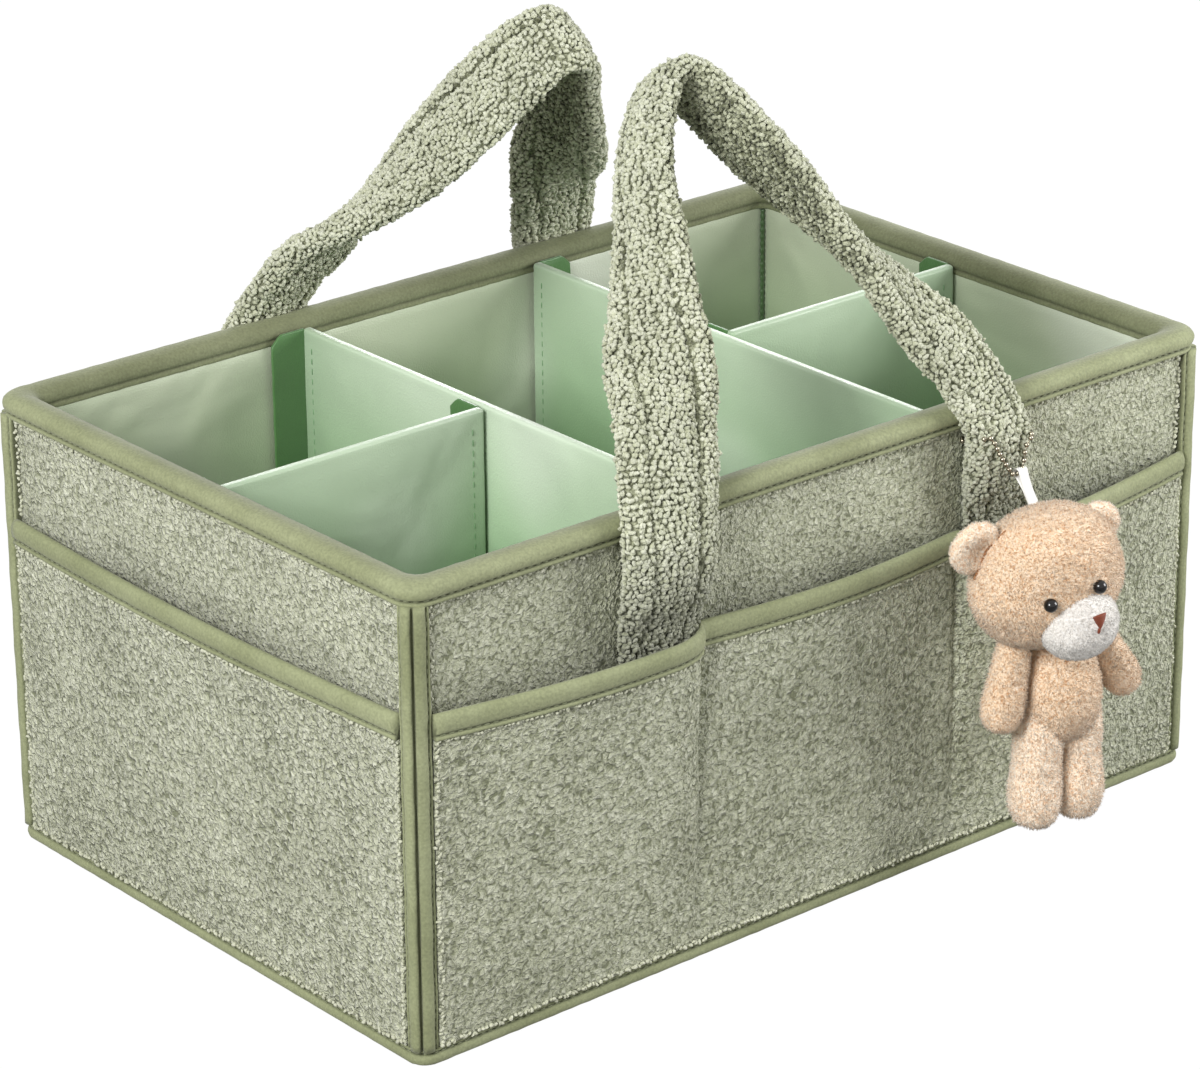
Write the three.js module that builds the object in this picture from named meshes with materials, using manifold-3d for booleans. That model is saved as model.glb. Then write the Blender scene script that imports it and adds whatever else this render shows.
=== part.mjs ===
// Storage caddy of curly fleece with satin dividers, two padded handles and a plush bear charm.
// Millimetres. X runs along the long side, -Y is the front wall and +Z is up. The origin is the
// centre of the underside, so the caddy stands on Z = 0.

import * as THREE from 'three';
import { mergeVertices } from 'three/addons/utils/BufferGeometryUtils.js';
import Module from 'manifold-3d';

// Overall size of the box, over its tapes
const caddyLength = 380;
const caddyWidth = 245;
const caddyHeight = 180;

// Clearances
const layerGap = 0.3;
const hingeGap = 0.35;
const weldDistance = 0.0005;
const cutOverrun = 5;

// Wall layers, counted inwards from the outer face of the tapes
const tapeProud = 2.2;
const fleeceThickness = 3;
const boardThickness = 3;
const liningThickness = 1.2;
const coverThickness = 1.2;
const panelCornerRadius = 4;
const fleeceEdgeRadius = 1;

// Rim tape
const rimRadius = 7;
const rimInnerRadius = 1.2;
const rimTopDepth = 6;
const rimLipDepth = 7.5;
const rimRoll = 2.8;

// Tape at the foot and at the upright corners
const footTapeHeight = 6;
const footTapeRadius = 7;
const footTapeRoll = 1.5;
const cornerTapeWidth = 8;
const cornerTapeRoll = 1.5;
const cornerTapeEase = 3.4;
const cornerTapeBite = 1.8;
const cornerShoulderShare = 0.25;

// Pockets
const pocketTop = 132;
const pocketTapeHeight = 9;
const pocketThickness = 2.4;
const pocketTapeExtra = 0.9;
const pocketTapeRoll = 1.1;
const pocketSeam = 63.3;
const legPocketGape = 12.5;
const middlePocketGape = 9.5;
const endPocketGape = 6.5;
const pocketSag = 2.5;
const pocketRiseShare = 1.2;
const pocketSeamShare = 0.5;

// Handles
const strapWidth = 38;
const strapThickness = 13;
const pocketLegPlace = 83;
const legFoot = 98;
const hingeRise = 6;
const handleFoldedLean = 55;
const mitreEase = 2;
const foldOffset = -9;
const foldRadius = 17;
const uprightLegAngle = 21;
const slantedLegAngle = 30;
const uprightPullShare = 0.5;
const slantedPullShare = 0.56;
const strapChannelShare = 0.2;
const foldThicknessShare = 0.84;
const foldEasePower = 4;
const twistStartShare = 0.16;
const twistShare = 0.55;
const coreWidth = 17;
const coreThickness = 4;
const frontHandleLean = 34;
const frontHandleLength = 146;
const frontUprightPlace = 84;
const frontSlantedPlace = 75;
const backHandleLean = 39;
const backHandleLength = 142;
const backUprightPlace = 81;
const backSlantedPlace = 66;

// Dividers
const dividerTop = 176.5;
const dividerThickness = 4;
const dividerSkin = 0.7;
const crossDividerPlace = 57;
const flangeWidth = 15;
const flangeThickness = 1.4;
const flangeEase = 5.6;
const hookThickness = 1.2;
const hookInset = 4;

// Plush bear, upright and facing -Y, measured from its neck
const headWidth = 60;
const headDepth = 45;
const headHeight = 55;
const headRise = 24;
const headForward = 2;
const headTurn = -13;
const headNod = 9;
const headTilt = -9;
const bodyHeight = 46;
const bodyWidth = 32.5;
const bodyDepth = 31;
const bodySide = 7;
const bodyTurn = -12;
const legLength = 44;
const legWidth = 19.5;
const legSpread = 7.8;
const legSplay = 2;
const legTop = 32;
const armLength = 40;
const armWidth = 15.5;
const leftArmSpread = 25.5;
const leftArmSplay = 4;
const rightArmSpread = 11.5;
const rightArmSplay = 30;
const armRise = 2;
const earWidth = 22;
const earDepth = 11;
const earSpread = 26;
const leftEarRise = 18;
const rightEarRise = 8;
const earSetBack = 6;
const muzzleWidth = 31;
const muzzleHeight = 27;
const muzzleDepth = 27;
const muzzleDrop = 10.5;
const muzzleSink = 3.6;
const noseWidth = 7.5;
const noseHeight = 6;
const noseThickness = 2.4;
const noseRise = 2;
const noseSide = 0.8;
const noseRoundShare = 0.2;
const eyeWidth = 5.2;
const eyeSpread = 10.4;
const eyeSide = 1.4;
const muzzleSide = 1.6;
const eyeRise = 4.6;

// How the bear hangs
const bearHangX = 80;
const bearStandOff = 1.2;
const ribbonWidth = 4.6;
const ribbonThickness = 0.8;
const ribbonDrop = 15;
const ribbonEndGap = 0.6;
const ribbonSeatShares = [0.27, 0.76, 0.43];

// Ball chain round the handle's right leg
const ballDiameter = 2;
const ballPitch = 2.9;
const ballNeckShare = 0.4;
const ballBulgeShares = [ballNeckShare, 0.9, 1, 0.9];
const ballStepShares = [0, 0.26, 0.5, 0.74];
const chainLeftDrop = 16;
const chainRightDrop = 21;
const chainLowDrop = 31;
const chainBackDrop = 19;
const chainClearance = 0.25;
const chainBendShare = 0.25;

// Faceting
const cornerSteps = 4;
const sheetRows = 4;
const pocketSteps = 8;
const strapSteps = 13;
const plushSides = 16;
const plushRows = 11;
const limbSides = 12;
const limbRows = 9;
const trimSides = 10;
const trimRows = 6;
const ballSides = 6;

// Finishes
const fleeceFinish = { color: 0xaeb193, roughness: 0.95, metalness: 0 };
const curlFinish = { color: 0xb4b79b, roughness: 0.96, metalness: 0 };
const tapeFinish = { color: 0x8f9468, roughness: 0.8, metalness: 0 };
const liningFinish = { color: 0x93a585, roughness: 0.5, metalness: 0 };
const dividerFinish = { color: 0xa6c6a2, roughness: 0.5, metalness: 0 };
const boardFinish = { color: 0xb9b4a6, roughness: 0.8, metalness: 0 };
const coverFinish = { color: 0x9aa584, roughness: 0.85, metalness: 0 };
const coreFinish = { color: 0xdcdccf, roughness: 0.9, metalness: 0 };
const plushFinish = { color: 0xe6c39a, roughness: 0.95, metalness: 0 };
const muzzleFinish = { color: 0xe6e2e0, roughness: 0.95, metalness: 0 };
const noseFinish = { color: 0x86492c, roughness: 0.8, metalness: 0 };
const eyeFinish = { color: 0x15110f, roughness: 0.15, metalness: 0 };
const ribbonFinish = { color: 0xf0efea, roughness: 0.5, metalness: 0 };
const chainFinish = { color: 0x9a9a96, roughness: 0.3, metalness: 1 };

// Depths of the layers, inwards from the outer face of the tapes
const halfLength = caddyLength / 2;
const halfWidth = caddyWidth / 2;
const fleeceBack = tapeProud + fleeceThickness;
const boardFront = fleeceBack + layerGap;
const boardBack = boardFront + boardThickness;
const liningFront = boardBack + layerGap;
const liningBack = liningFront + liningThickness;
const rimBack = liningBack;

// Heights of the layers
const baseBoardBottom = coverThickness + layerGap;
const baseBoardTop = baseBoardBottom + boardThickness;
const baseLiningBottom = baseBoardTop + layerGap;
const baseLiningTop = baseLiningBottom + liningThickness;
const wallTop = caddyHeight - rimTopDepth;
const rimLipBottom = caddyHeight - rimLipDepth;
const liningTop = rimLipBottom - layerGap;
const fleeceBottom = footTapeHeight + layerGap;

// The chain hangs below the hinge line
const chainLeftHeight = caddyHeight + hingeRise - chainLeftDrop;
const chainRightHeight = caddyHeight + hingeRise - chainRightDrop;
const chainLowHeight = caddyHeight + hingeRise - chainLowDrop;
const chainBackHeight = caddyHeight + hingeRise - chainBackDrop;

// The hinge line lies at the strap's outer face
const strapInset = -layerGap;
const hingeInset = strapInset - strapThickness - layerGap;
const hingeHeight = caddyHeight + hingeRise;
const strapCentre = layerGap + strapThickness / 2;

// Each handle in its own frame: which way it faces, how far it leans in at rest, where its two
// legs cross the rim and how wide they are there, as shares of the strap's width
const handles = {
  front: {
    turn: 0,
    lean: frontHandleLean,
    reach: frontHandleLength,
    legs: { left: { place: -frontUprightPlace, share: 1 }, right: { place: frontSlantedPlace, share: 0.72 } },
  },
  back: {
    turn: Math.PI,
    lean: backHandleLean,
    reach: backHandleLength,
    legs: { left: { place: -backUprightPlace, share: 0.88 }, right: { place: backSlantedPlace, share: 0.84 } },
  },
};

const wasm = await Module();
wasm.setup();

function weld(geometry) {
  const bare = new THREE.BufferGeometry();
  bare.setAttribute('position', geometry.getAttribute('position').clone());
  if (geometry.index) {
    bare.setIndex(geometry.index.clone());
  }
  const merged = mergeVertices(bare, weldDistance);
  const kept = [];
  const corners = merged.index.array;
  for (let k = 0; k < corners.length; k += 3) {
    const [a, b, c] = [corners[k], corners[k + 1], corners[k + 2]];
    if (a !== b && b !== c && c !== a) {
      kept.push(a, b, c);
    }
  }
  merged.setIndex(kept);
  return merged;
}

function toSolid(geometry) {
  const closed = weld(geometry);
  const vertProperties = new Float32Array(closed.getAttribute('position').array);
  const triVerts = new Uint32Array(closed.index.array);
  return new wasm.Manifold(new wasm.Mesh({ numProp: 3, vertProperties, triVerts }));
}

function toGeometry(solid) {
  const mesh = solid.getMesh();
  const geometry = new THREE.BufferGeometry();
  geometry.setAttribute('position', new THREE.BufferAttribute(new Float32Array(mesh.vertProperties), 3));
  geometry.setIndex(new THREE.BufferAttribute(new Uint32Array(mesh.triVerts), 1));
  return geometry;
}

function cut(body, tools) {
  let solid = toSolid(body);
  for (const tool of tools) {
    solid = solid.subtract(toSolid(tool));
  }
  return toGeometry(solid);
}

function join(body, additions) {
  let solid = toSolid(body);
  for (const addition of additions) {
    solid = solid.add(toSolid(addition));
  }
  return toGeometry(solid);
}

function signedVolume(points, corners) {
  let volume = 0;
  for (let k = 0; k < corners.length; k += 3) {
    const [a, b, c] = [points[corners[k]], points[corners[k + 1]], points[corners[k + 2]]];
    volume += a.dot(new THREE.Vector3().crossVectors(b, c));
  }
  return volume;
}

// Closed skin through rings of points. Without wrap its two ends are capped.
function loft(rings, wrap = false) {
  const count = rings[0].length;
  const points = rings.flat();
  const corners = [];
  const last = wrap ? rings.length : rings.length - 1;
  for (let row = 0; row < last; row += 1) {
    const next = (row + 1) % rings.length;
    for (let k = 0; k < count; k += 1) {
      const step = (k + 1) % count;
      const [a, b] = [row * count + k, row * count + step];
      const [c, d] = [next * count + k, next * count + step];
      corners.push(a, b, d, a, d, c);
    }
  }
  if (!wrap) {
    const flat = flatten(rings[0]);
    const faces = THREE.ShapeUtils.triangulateShape(flat, []);
    const clockwise = THREE.ShapeUtils.isClockWise(flat);
    const top = (rings.length - 1) * count;
    for (const [a, b, c] of faces) {
      const [p, q] = clockwise ? [b, c] : [c, b];
      corners.push(a, p, q);
    }
    for (const [a, b, c] of capFaces(rings[rings.length - 1], clockwise)) {
      corners.push(top + a, top + b, top + c);
    }
  }
  if (signedVolume(points, corners) < 0) {
    corners.reverse();
  }
  const geometry = new THREE.BufferGeometry().setFromPoints(points);
  geometry.setIndex(corners);
  return geometry;
}

// Ring seen along its own normal, with that normal found by Newell's rule
function flatten(ring) {
  const normal = new THREE.Vector3();
  ring.forEach((p, k) => {
    const q = ring[(k + 1) % ring.length];
    normal.x += (p.y - q.y) * (p.z + q.z);
    normal.y += (p.z - q.z) * (p.x + q.x);
    normal.z += (p.x - q.x) * (p.y + q.y);
  });
  normal.normalize();
  const helper = Math.abs(normal.z) < Math.SQRT1_2 ? new THREE.Vector3(0, 0, 1) : new THREE.Vector3(1, 0, 0);
  const across = new THREE.Vector3().crossVectors(helper, normal).normalize();
  const up = new THREE.Vector3().crossVectors(normal, across);
  return ring.map((p) => new THREE.Vector2(p.dot(across), p.dot(up)));
}

function capFaces(ring, clockwise) {
  const flat = flatten(ring);
  const faces = THREE.ShapeUtils.triangulateShape(flat, []);
  return faces.map(([a, b, c]) => (clockwise ? [a, c, b] : [a, b, c]));
}

// Corner arcs of a rectangle, run round anticlockwise
function roundedOutline(halfX, halfY, radius, steps = cornerSteps) {
  const outline = [];
  const centres = [[1, 1], [-1, 1], [-1, -1], [1, -1]];
  centres.forEach(([signX, signY], corner) => {
    for (let k = 0; k <= steps; k += 1) {
      const angle = (corner + k / steps) * Math.PI / 2;
      const x = signX * (halfX - radius) + radius * Math.cos(angle);
      const y = signY * (halfY - radius) + radius * Math.sin(angle);
      outline.push(new THREE.Vector2(x, y));
    }
  });
  return outline;
}

// Tape that runs all round the box: each section point is a distance inwards and a height
function band(section, radius, innerRadius) {
  const rings = section.map(([inset, height]) => {
    const cornerRadius = Math.max(radius - inset, innerRadius);
    const outline = roundedOutline(halfLength - inset, halfWidth - inset, cornerRadius);
    return outline.map((p) => new THREE.Vector3(p.x, p.y, height));
  });
  return loft(rings, true);
}

// Upright slab in a wall's own frame: X along the wall, +Y into the box
function uprightSlab(halfSpan, bottom, top, front, back, edgeRadius = 0) {
  const halfRise = (top - bottom) / 2;
  const thickness = back - front;
  const outline = roundedOutline(halfSpan - edgeRadius, halfRise - edgeRadius, panelCornerRadius);
  const options = {
    depth: thickness - edgeRadius,
    bevelEnabled: edgeRadius > 0,
    bevelThickness: edgeRadius,
    bevelSize: edgeRadius,
    bevelSegments: 2,
  };
  const geometry = new THREE.ExtrudeGeometry(new THREE.Shape(outline), options);
  geometry.rotateX(Math.PI / 2);
  geometry.translate(0, front + thickness, bottom + halfRise);
  return geometry;
}

// Slab with its outer edge eased and its back face flat
function fleeceSlab(halfSpan) {
  const slab = uprightSlab(halfSpan, fleeceBottom, wallTop, tapeProud, fleeceBack + fleeceEdgeRadius, fleeceEdgeRadius);
  const trim = new THREE.BoxGeometry(2 * halfSpan + cutOverrun, cutOverrun, caddyHeight + cutOverrun);
  trim.translate(0, fleeceBack + cutOverrun / 2, caddyHeight / 2);
  return cut(slab, [trim]);
}

function flatSlab(halfX, halfY, bottom, thickness, radius) {
  const shape = new THREE.Shape(roundedOutline(halfX, halfY, radius));
  const geometry = new THREE.ExtrudeGeometry(shape, { depth: thickness, bevelEnabled: false });
  geometry.translate(0, 0, bottom);
  return geometry;
}

// Rim tape: a rolled strip folded over the top of the walls, with a lip down each side
function rimTape() {
  const underside = wallTop + layerGap;
  const outerLip = tapeProud - layerGap;
  const shoulder = rimRoll * (1 - Math.SQRT1_2);
  const lipEase = liningThickness / 2;
  const section = [
    [lipEase, rimLipBottom],
    [0, rimLipBottom + lipEase],
    [0, caddyHeight - rimRoll],
    [shoulder, caddyHeight - shoulder],
    [rimRoll, caddyHeight],
    [rimBack - rimRoll, caddyHeight],
    [rimBack - shoulder, caddyHeight - shoulder],
    [rimBack, caddyHeight - rimRoll],
    [rimBack, rimLipBottom + lipEase],
    [rimBack - lipEase, rimLipBottom],
    [liningFront, rimLipBottom],
    [liningFront, underside],
    [outerLip, underside],
    [outerLip, rimLipBottom],
  ];
  return band(section, rimRadius, rimInnerRadius);
}

function footTape() {
  const section = [
    [footTapeRoll, 0],
    [0, footTapeRoll],
    [0, footTapeHeight - footTapeRoll],
    [footTapeRoll, footTapeHeight],
    [fleeceBack, footTapeHeight],
    [fleeceBack, 0],
  ];
  return band(section, footTapeRadius, rimInnerRadius);
}

// Upright tape that binds a corner: one face on each wall, with a crease where the faces meet.
// The outline's two values are the distances from the outer faces of the two walls.
function cornerTape(signX, signY) {
  const creaseShoulder = cornerTapeBite * cornerShoulderShare;
  const half = [
    [cornerTapeWidth, fleeceBack],
    [cornerTapeWidth, cornerTapeRoll],
    [cornerTapeWidth - cornerTapeRoll * cornerShoulderShare, cornerTapeRoll / 2],
    [cornerTapeWidth - cornerTapeRoll, 0],
    [cornerTapeEase, 0],
    [cornerTapeBite + creaseShoulder, creaseShoulder],
  ];
  const mirrored = half.map(([along, inset]) => [inset, along]).reverse();
  const outline = [[fleeceBack, fleeceBack], ...half, [cornerTapeBite, cornerTapeBite], ...mirrored];
  const points = outline.map(([fromX, fromY]) => (
    new THREE.Vector2(signX * (halfLength - fromX), signY * (halfWidth - fromY))
  ));
  const rise = rimLipBottom - layerGap - fleeceBottom;
  const geometry = new THREE.ExtrudeGeometry(new THREE.Shape(points), { depth: rise, bevelEnabled: false });
  geometry.translate(0, 0, fleeceBottom);
  return geometry;
}

// Plan of the pockets on each wall: seams along the wall, gape of each pocket and where it peaks
function pocketPlan(halfSpan, threePockets) {
  const end = halfSpan - cornerTapeWidth - layerGap;
  if (!threePockets) {
    return { seams: [-end, end], gapes: [endPocketGape], peaks: [0] };
  }
  return {
    seams: [-end, -pocketSeam, pocketSeam, end],
    gapes: [legPocketGape, middlePocketGape, legPocketGape],
    peaks: [-pocketLegPlace, 0, pocketLegPlace],
  };
}

// Gape of a pocket's mouth, out from the wall, at a place along the wall
function mouthGape(plan, index, along) {
  const [low, high] = [plan.seams[index], plan.seams[index + 1]];
  const peak = plan.peaks[index];
  const before = along < peak;
  const run = before ? (along - low) / (peak - low) : (high - along) / (high - peak);
  const swell = Math.sin(Math.min(Math.max(run, 0), 1) * Math.PI / 2);
  const shortSide = before ? peak - low < high - peak : high - peak < peak - low;
  return plan.gapes[index] * (shortSide ? swell ** pocketSeamShare : swell);
}

function pocketStations(plan) {
  const stations = [];
  for (let index = 0; index + 1 < plan.seams.length; index += 1) {
    const [low, high] = [plan.seams[index], plan.seams[index + 1]];
    const peak = plan.peaks[index];
    const halfSteps = pocketSteps / 2;
    for (let k = 0; k < pocketSteps; k += 1) {
      const first = k < halfSteps;
      const run = first ? k / halfSteps : (k - halfSteps) / halfSteps;
      const along = first ? low + (peak - low) * run : peak + (high - peak) * run;
      stations.push({ along, index });
    }
  }
  stations.push({ along: plan.seams[plan.seams.length - 1], index: plan.seams.length - 2 });
  return stations;
}

function mouthHeight(plan, station) {
  const [low, high] = [plan.seams[station.index], plan.seams[station.index + 1]];
  const share = (station.along - low) / (high - low);
  return pocketTop - pocketSag * Math.sin(share * Math.PI);
}

function pocketFace(plan, station, height) {
  const rise = (height - fleeceBottom) / (pocketTop - fleeceBottom);
  const gape = mouthGape(plan, station.index, station.along) * Math.max(rise, 0) ** pocketRiseShare;
  return tapeProud - layerGap - gape;
}

function pocketPanel(plan) {
  const rings = pocketStations(plan).map((station) => {
    const top = mouthHeight(plan, station) - pocketTapeHeight - layerGap;
    const inner = [];
    const outer = [];
    for (let row = 0; row <= sheetRows; row += 1) {
      const height = fleeceBottom + (top - fleeceBottom) * row / sheetRows;
      const face = pocketFace(plan, station, height);
      inner.push(new THREE.Vector3(station.along, face, height));
      outer.unshift(new THREE.Vector3(station.along, face - pocketThickness, height));
    }
    return [...inner, ...outer];
  });
  return loft(rings);
}

function pocketTape(plan) {
  const rings = pocketStations(plan).map((station) => {
    const top = mouthHeight(plan, station);
    const bottom = top - pocketTapeHeight;
    const face = pocketFace(plan, station, bottom);
    const lean = pocketFace(plan, station, top) - face;
    const thickness = pocketThickness + pocketTapeExtra;
    const section = [
      [0, 0],
      [0, pocketTapeHeight - pocketTapeRoll],
      [pocketTapeRoll, pocketTapeHeight],
      [thickness - pocketTapeRoll, pocketTapeHeight],
      [thickness, pocketTapeHeight - pocketTapeRoll],
      [thickness, 0],
    ];
    return section.map(([out, up]) => {
      const inset = face + lean * up / pocketTapeHeight - out;
      return new THREE.Vector3(station.along, inset, bottom + up);
    });
  });
  return loft(rings);
}

// Section of the padded strap, as shares of its width and thickness: two edge rolls, a sewn
// channel beside each, and a band between them
const strapHalfShares = [
  [0.5, 0],
  [0.45, 0.4],
  [0.34, 0.47],
  [0.26, strapChannelShare],
  [0.18, 0.45],
  [0, 0.5],
];

function strapOutline(width, thickness) {
  const upper = strapHalfShares.map(([across, through]) => [across * width, through * thickness]);
  const upperLeft = upper.slice(0, -1).reverse().map(([across, through]) => [-across, through]);
  const top = [...upper, ...upperLeft];
  const bottom = top.slice(1, -1).reverse().map(([across, through]) => [across, -through]);
  return [...top, ...bottom];
}

// Sewn end of a handle: it lies on the wall inside the pocket and stands off it at the rim.
// Shares are of the leg's height, width, thickness and way from the pocket to the rim.
const legShares = [
  [0, 0.76, 0.24, 0],
  [0.14, 0.8, 0.36, 0],
  [0.3, 0.86, 0.46, 0],
  [0.44, 0.88, 0.56, 0.04],
  [0.6, 0.98, 0.88, 0.85],
  [0.72, 1, 1, 1],
  [1, 1, 1, 1],
];

function handleLeg(leg) {
  const top = hingeHeight - layerGap;
  const wallFace = tapeProud - layerGap;
  const pocketPlace = Math.sign(leg.place) * pocketLegPlace;
  const rings = legShares.map(([rise, wide, thick, way]) => {
    const height = legFoot + (top - legFoot) * rise;
    const thickness = strapThickness * thick;
    const inner = wallFace + (strapInset - wallFace) * way;
    const place = pocketPlace + (leg.place - pocketPlace) * way;
    const width = strapWidth * wide * (1 + (leg.share - 1) * way);
    const outline = strapOutline(width, thickness);
    return outline.map(([across, out]) => new THREE.Vector3(place + across, inner - thickness / 2 - out, height));
  });
  return loft(rings);
}

// The strap's lower ends are mitred so that it can fold in over the rim
function mitreSlope() {
  return Math.tan(THREE.MathUtils.degToRad(handleFoldedLean + mitreEase));
}

// Centre line of the handle in its own plane: X along the wall, Z away from the hinge line.
// Each leg leaves the rim at a slant and bends over into a rounded fold.
function handleCurve(place, angle, pullShare, reach) {
  const side = Math.sign(place);
  const slant = THREE.MathUtils.degToRad(angle);
  const start = strapThickness * mitreSlope() + layerGap;
  const travel = new THREE.Vector3(-side * Math.sin(slant), 0, Math.cos(slant));
  const foot = new THREE.Vector3(place, 0, 0).addScaledVector(travel, start / travel.z);
  const fold = new THREE.Vector3(foldOffset, 0, reach);
  return new THREE.CubicBezierCurve3(
    foot,
    foot.clone().addScaledVector(travel, pullShare * reach),
    fold.clone().add(new THREE.Vector3(side * foldRadius, 0, 0)),
    fold,
  );
}

// Stations along the strap from its left foot to its right one
function strapStations(handle) {
  const { left, right } = handle.legs;
  const rise = handleCurve(left.place, uprightLegAngle, uprightPullShare, handle.reach);
  const fall = handleCurve(right.place, slantedLegAngle, slantedPullShare, handle.reach);
  const stations = [];
  for (let k = 0; k <= strapSteps; k += 1) {
    stations.push(strapStation(rise, k / strapSteps, 1, left.share));
  }
  for (let k = strapSteps - 1; k >= 0; k -= 1) {
    stations.push(strapStation(fall, k / strapSteps, -1, right.share));
  }
  return stations;
}

// The strap's face looks away from the wall at the rim and along the handle's plane at the fold
function strapStation(curve, climb, sense, footShare) {
  const centre = curve.getPointAt(climb);
  const along = curve.getTangentAt(climb).multiplyScalar(sense);
  const turned = Math.max((climb - twistStartShare) / (1 - twistStartShare), 0) ** twistShare;
  const turn = turned * Math.PI / 2;
  const outside = new THREE.Vector3(-along.z, 0, along.x);
  const face = new THREE.Vector3(0, -Math.cos(turn), 0).addScaledVector(outside, Math.sin(turn));
  centre.y = strapCentre;
  return { centre, along, face, climb, footShare };
}

function strapRing(station, outline) {
  const side = new THREE.Vector3().crossVectors(station.along, station.face).normalize();
  return outline.map(([across, through]) => (
    station.centre.clone().addScaledVector(side, across).addScaledVector(station.face, through)
  ));
}

// End ring carried along the strap to the mitre plane that clears the sewn leg
function mitreRing(ring, along, lift) {
  return ring.map((p) => {
    const reach = (mitreSlope() * p.y + lift - p.z) / along.z;
    return p.clone().addScaledVector(along, reach);
  });
}

function strapLoft(handle, sectionAt, lift) {
  const stations = strapStations(handle);
  const rings = stations.map((station) => strapRing(station, sectionAt(station)));
  const lastStation = stations[stations.length - 1];
  const first = mitreRing(rings[0], stations[0].along, lift);
  const last = mitreRing(rings[rings.length - 1], lastStation.along, lift);
  return loft([first, ...rings, last]);
}

// Width of the strap, as shares of its full width, at shares of the way up each leg
const strapWidthShares = [[0, 1], [0.25, 1], [0.5, 0.9], [0.75, 0.79], [1, 0.74]];

function sleeveSection({ climb, footShare }) {
  const next = Math.max(strapWidthShares.findIndex(([reached]) => reached >= climb), 1);
  const [lowClimb, lowShare] = strapWidthShares[next - 1];
  const [highClimb, highShare] = strapWidthShares[next];
  const share = lowShare + (highShare - lowShare) * (climb - lowClimb) / (highClimb - lowClimb);
  const atFoot = Math.max(1 - climb / strapWidthShares[1][0], 0) ** 2;
  const width = strapWidth * (share + (footShare - 1) * atFoot);
  return strapOutline(width, strapThickness * (1 + (foldThicknessShare - 1) * climb ** foldEasePower));
}

function coreOutline(width, thickness) {
  const edge = thickness / 2;
  const half = width / 2;
  return [[half, 0], [half - edge, edge], [edge - half, edge], [-half, 0], [edge - half, -edge], [half - edge, -edge]];
}

function handleCore(handle) {
  return strapLoft(handle, () => coreOutline(coreWidth, coreThickness), 0);
}

function handleSleeve(handle) {
  const outer = strapLoft(handle, sleeveSection, 0);
  const outline = coreOutline(coreWidth + 2 * layerGap, coreThickness + 2 * layerGap);
  return cut(outer, [strapLoft(handle, () => outline, -cutOverrun)]);
}

// Divider: a satin sleeve over a board, with a sewn flange at each end turned to one side.
// Its own frame has X along the divider and the flanges towards +Y.
function dividerOutline(reach) {
  const web = dividerThickness / 2;
  const tip = web + flangeWidth;
  const inner = reach - flangeThickness;
  const outline = [[-reach, -web], [reach, -web], [reach, tip], [inner, tip], [inner, web], [-inner, web]];
  outline.push([-inner, tip], [-reach, tip]);
  return outline.map(([x, y]) => new THREE.Vector2(x, y));
}

function dividerCover(reach) {
  const bottom = baseLiningTop + layerGap;
  const rise = dividerTop - bottom;
  const shape = new THREE.Shape(dividerOutline(reach));
  const sleeve = new THREE.ExtrudeGeometry(shape, { depth: rise, bevelEnabled: false });
  sleeve.translate(0, 0, bottom);
  const slotLength = 2 * (reach - flangeThickness - dividerSkin);
  const slotRise = rise - dividerSkin + cutOverrun;
  const slot = new THREE.BoxGeometry(slotLength, dividerThickness - 2 * dividerSkin, slotRise);
  slot.translate(0, 0, dividerTop - dividerSkin - slotRise / 2);
  return cut(join(sleeve, hookTapes(reach)), [slot, ...flangeEasing(reach)]);
}

// Corner cut off the top of each flange
function flangeEasing(reach) {
  return [-1, 1].map((side) => {
    const block = new THREE.BoxGeometry(cutOverrun, flangeEase, flangeEase);
    block.rotateX(Math.PI / 4);
    block.translate(side * (reach - flangeThickness / 2), dividerThickness / 2 + flangeWidth, dividerTop);
    return block;
  });
}

function dividerBoard(reach) {
  const bottom = baseLiningTop + layerGap;
  const top = dividerTop - dividerSkin - layerGap;
  const length = 2 * (reach - flangeThickness - dividerSkin - layerGap);
  const thickness = dividerThickness - 2 * dividerSkin - 2 * layerGap;
  const board = new THREE.BoxGeometry(length, thickness, top - bottom);
  board.translate(0, 0, (top + bottom) / 2);
  return board;
}

// Strip of hook tape sewn on the outer face of each flange
function hookTapes(reach) {
  const bottom = baseLiningTop + hookInset;
  const top = dividerTop - hookInset;
  const width = flangeWidth - hookInset;
  const sewnIn = flangeThickness / 2;
  return [-1, 1].map((side) => {
    const strip = new THREE.BoxGeometry(hookThickness + sewnIn, width, top - bottom);
    const centre = reach + (hookThickness - sewnIn) / 2;
    strip.translate(side * centre, dividerThickness / 2 + width / 2, (top + bottom) / 2);
    return strip;
  });
}

// Plush form: a profile of shares along its length, spun and then flattened front to back.
// It hangs down from its top end at the origin.
function plushForm(length, width, depth, profileShares, sides, rows, swell = 0) {
  const curve = new THREE.SplineCurve(profileShares.map(([down, out]) => new THREE.Vector2(out, down)));
  const points = [];
  for (let k = 0; k <= rows; k += 1) {
    const p = curve.getPointAt(k / rows);
    const end = k === 0 || k === rows;
    const stretch = p.y * length + swell * (2 * p.y - 1);
    points.push(new THREE.Vector2(end ? 0 : Math.max(p.x, 0) * width / 2 + swell, -stretch));
  }
  const geometry = new THREE.LatheGeometry(points.reverse(), sides);
  geometry.rotateX(Math.PI / 2);
  const flat = (depth / 2 + swell) / (width / 2 + swell);
  geometry.scale(1, flat, 1);
  return geometry;
}

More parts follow.
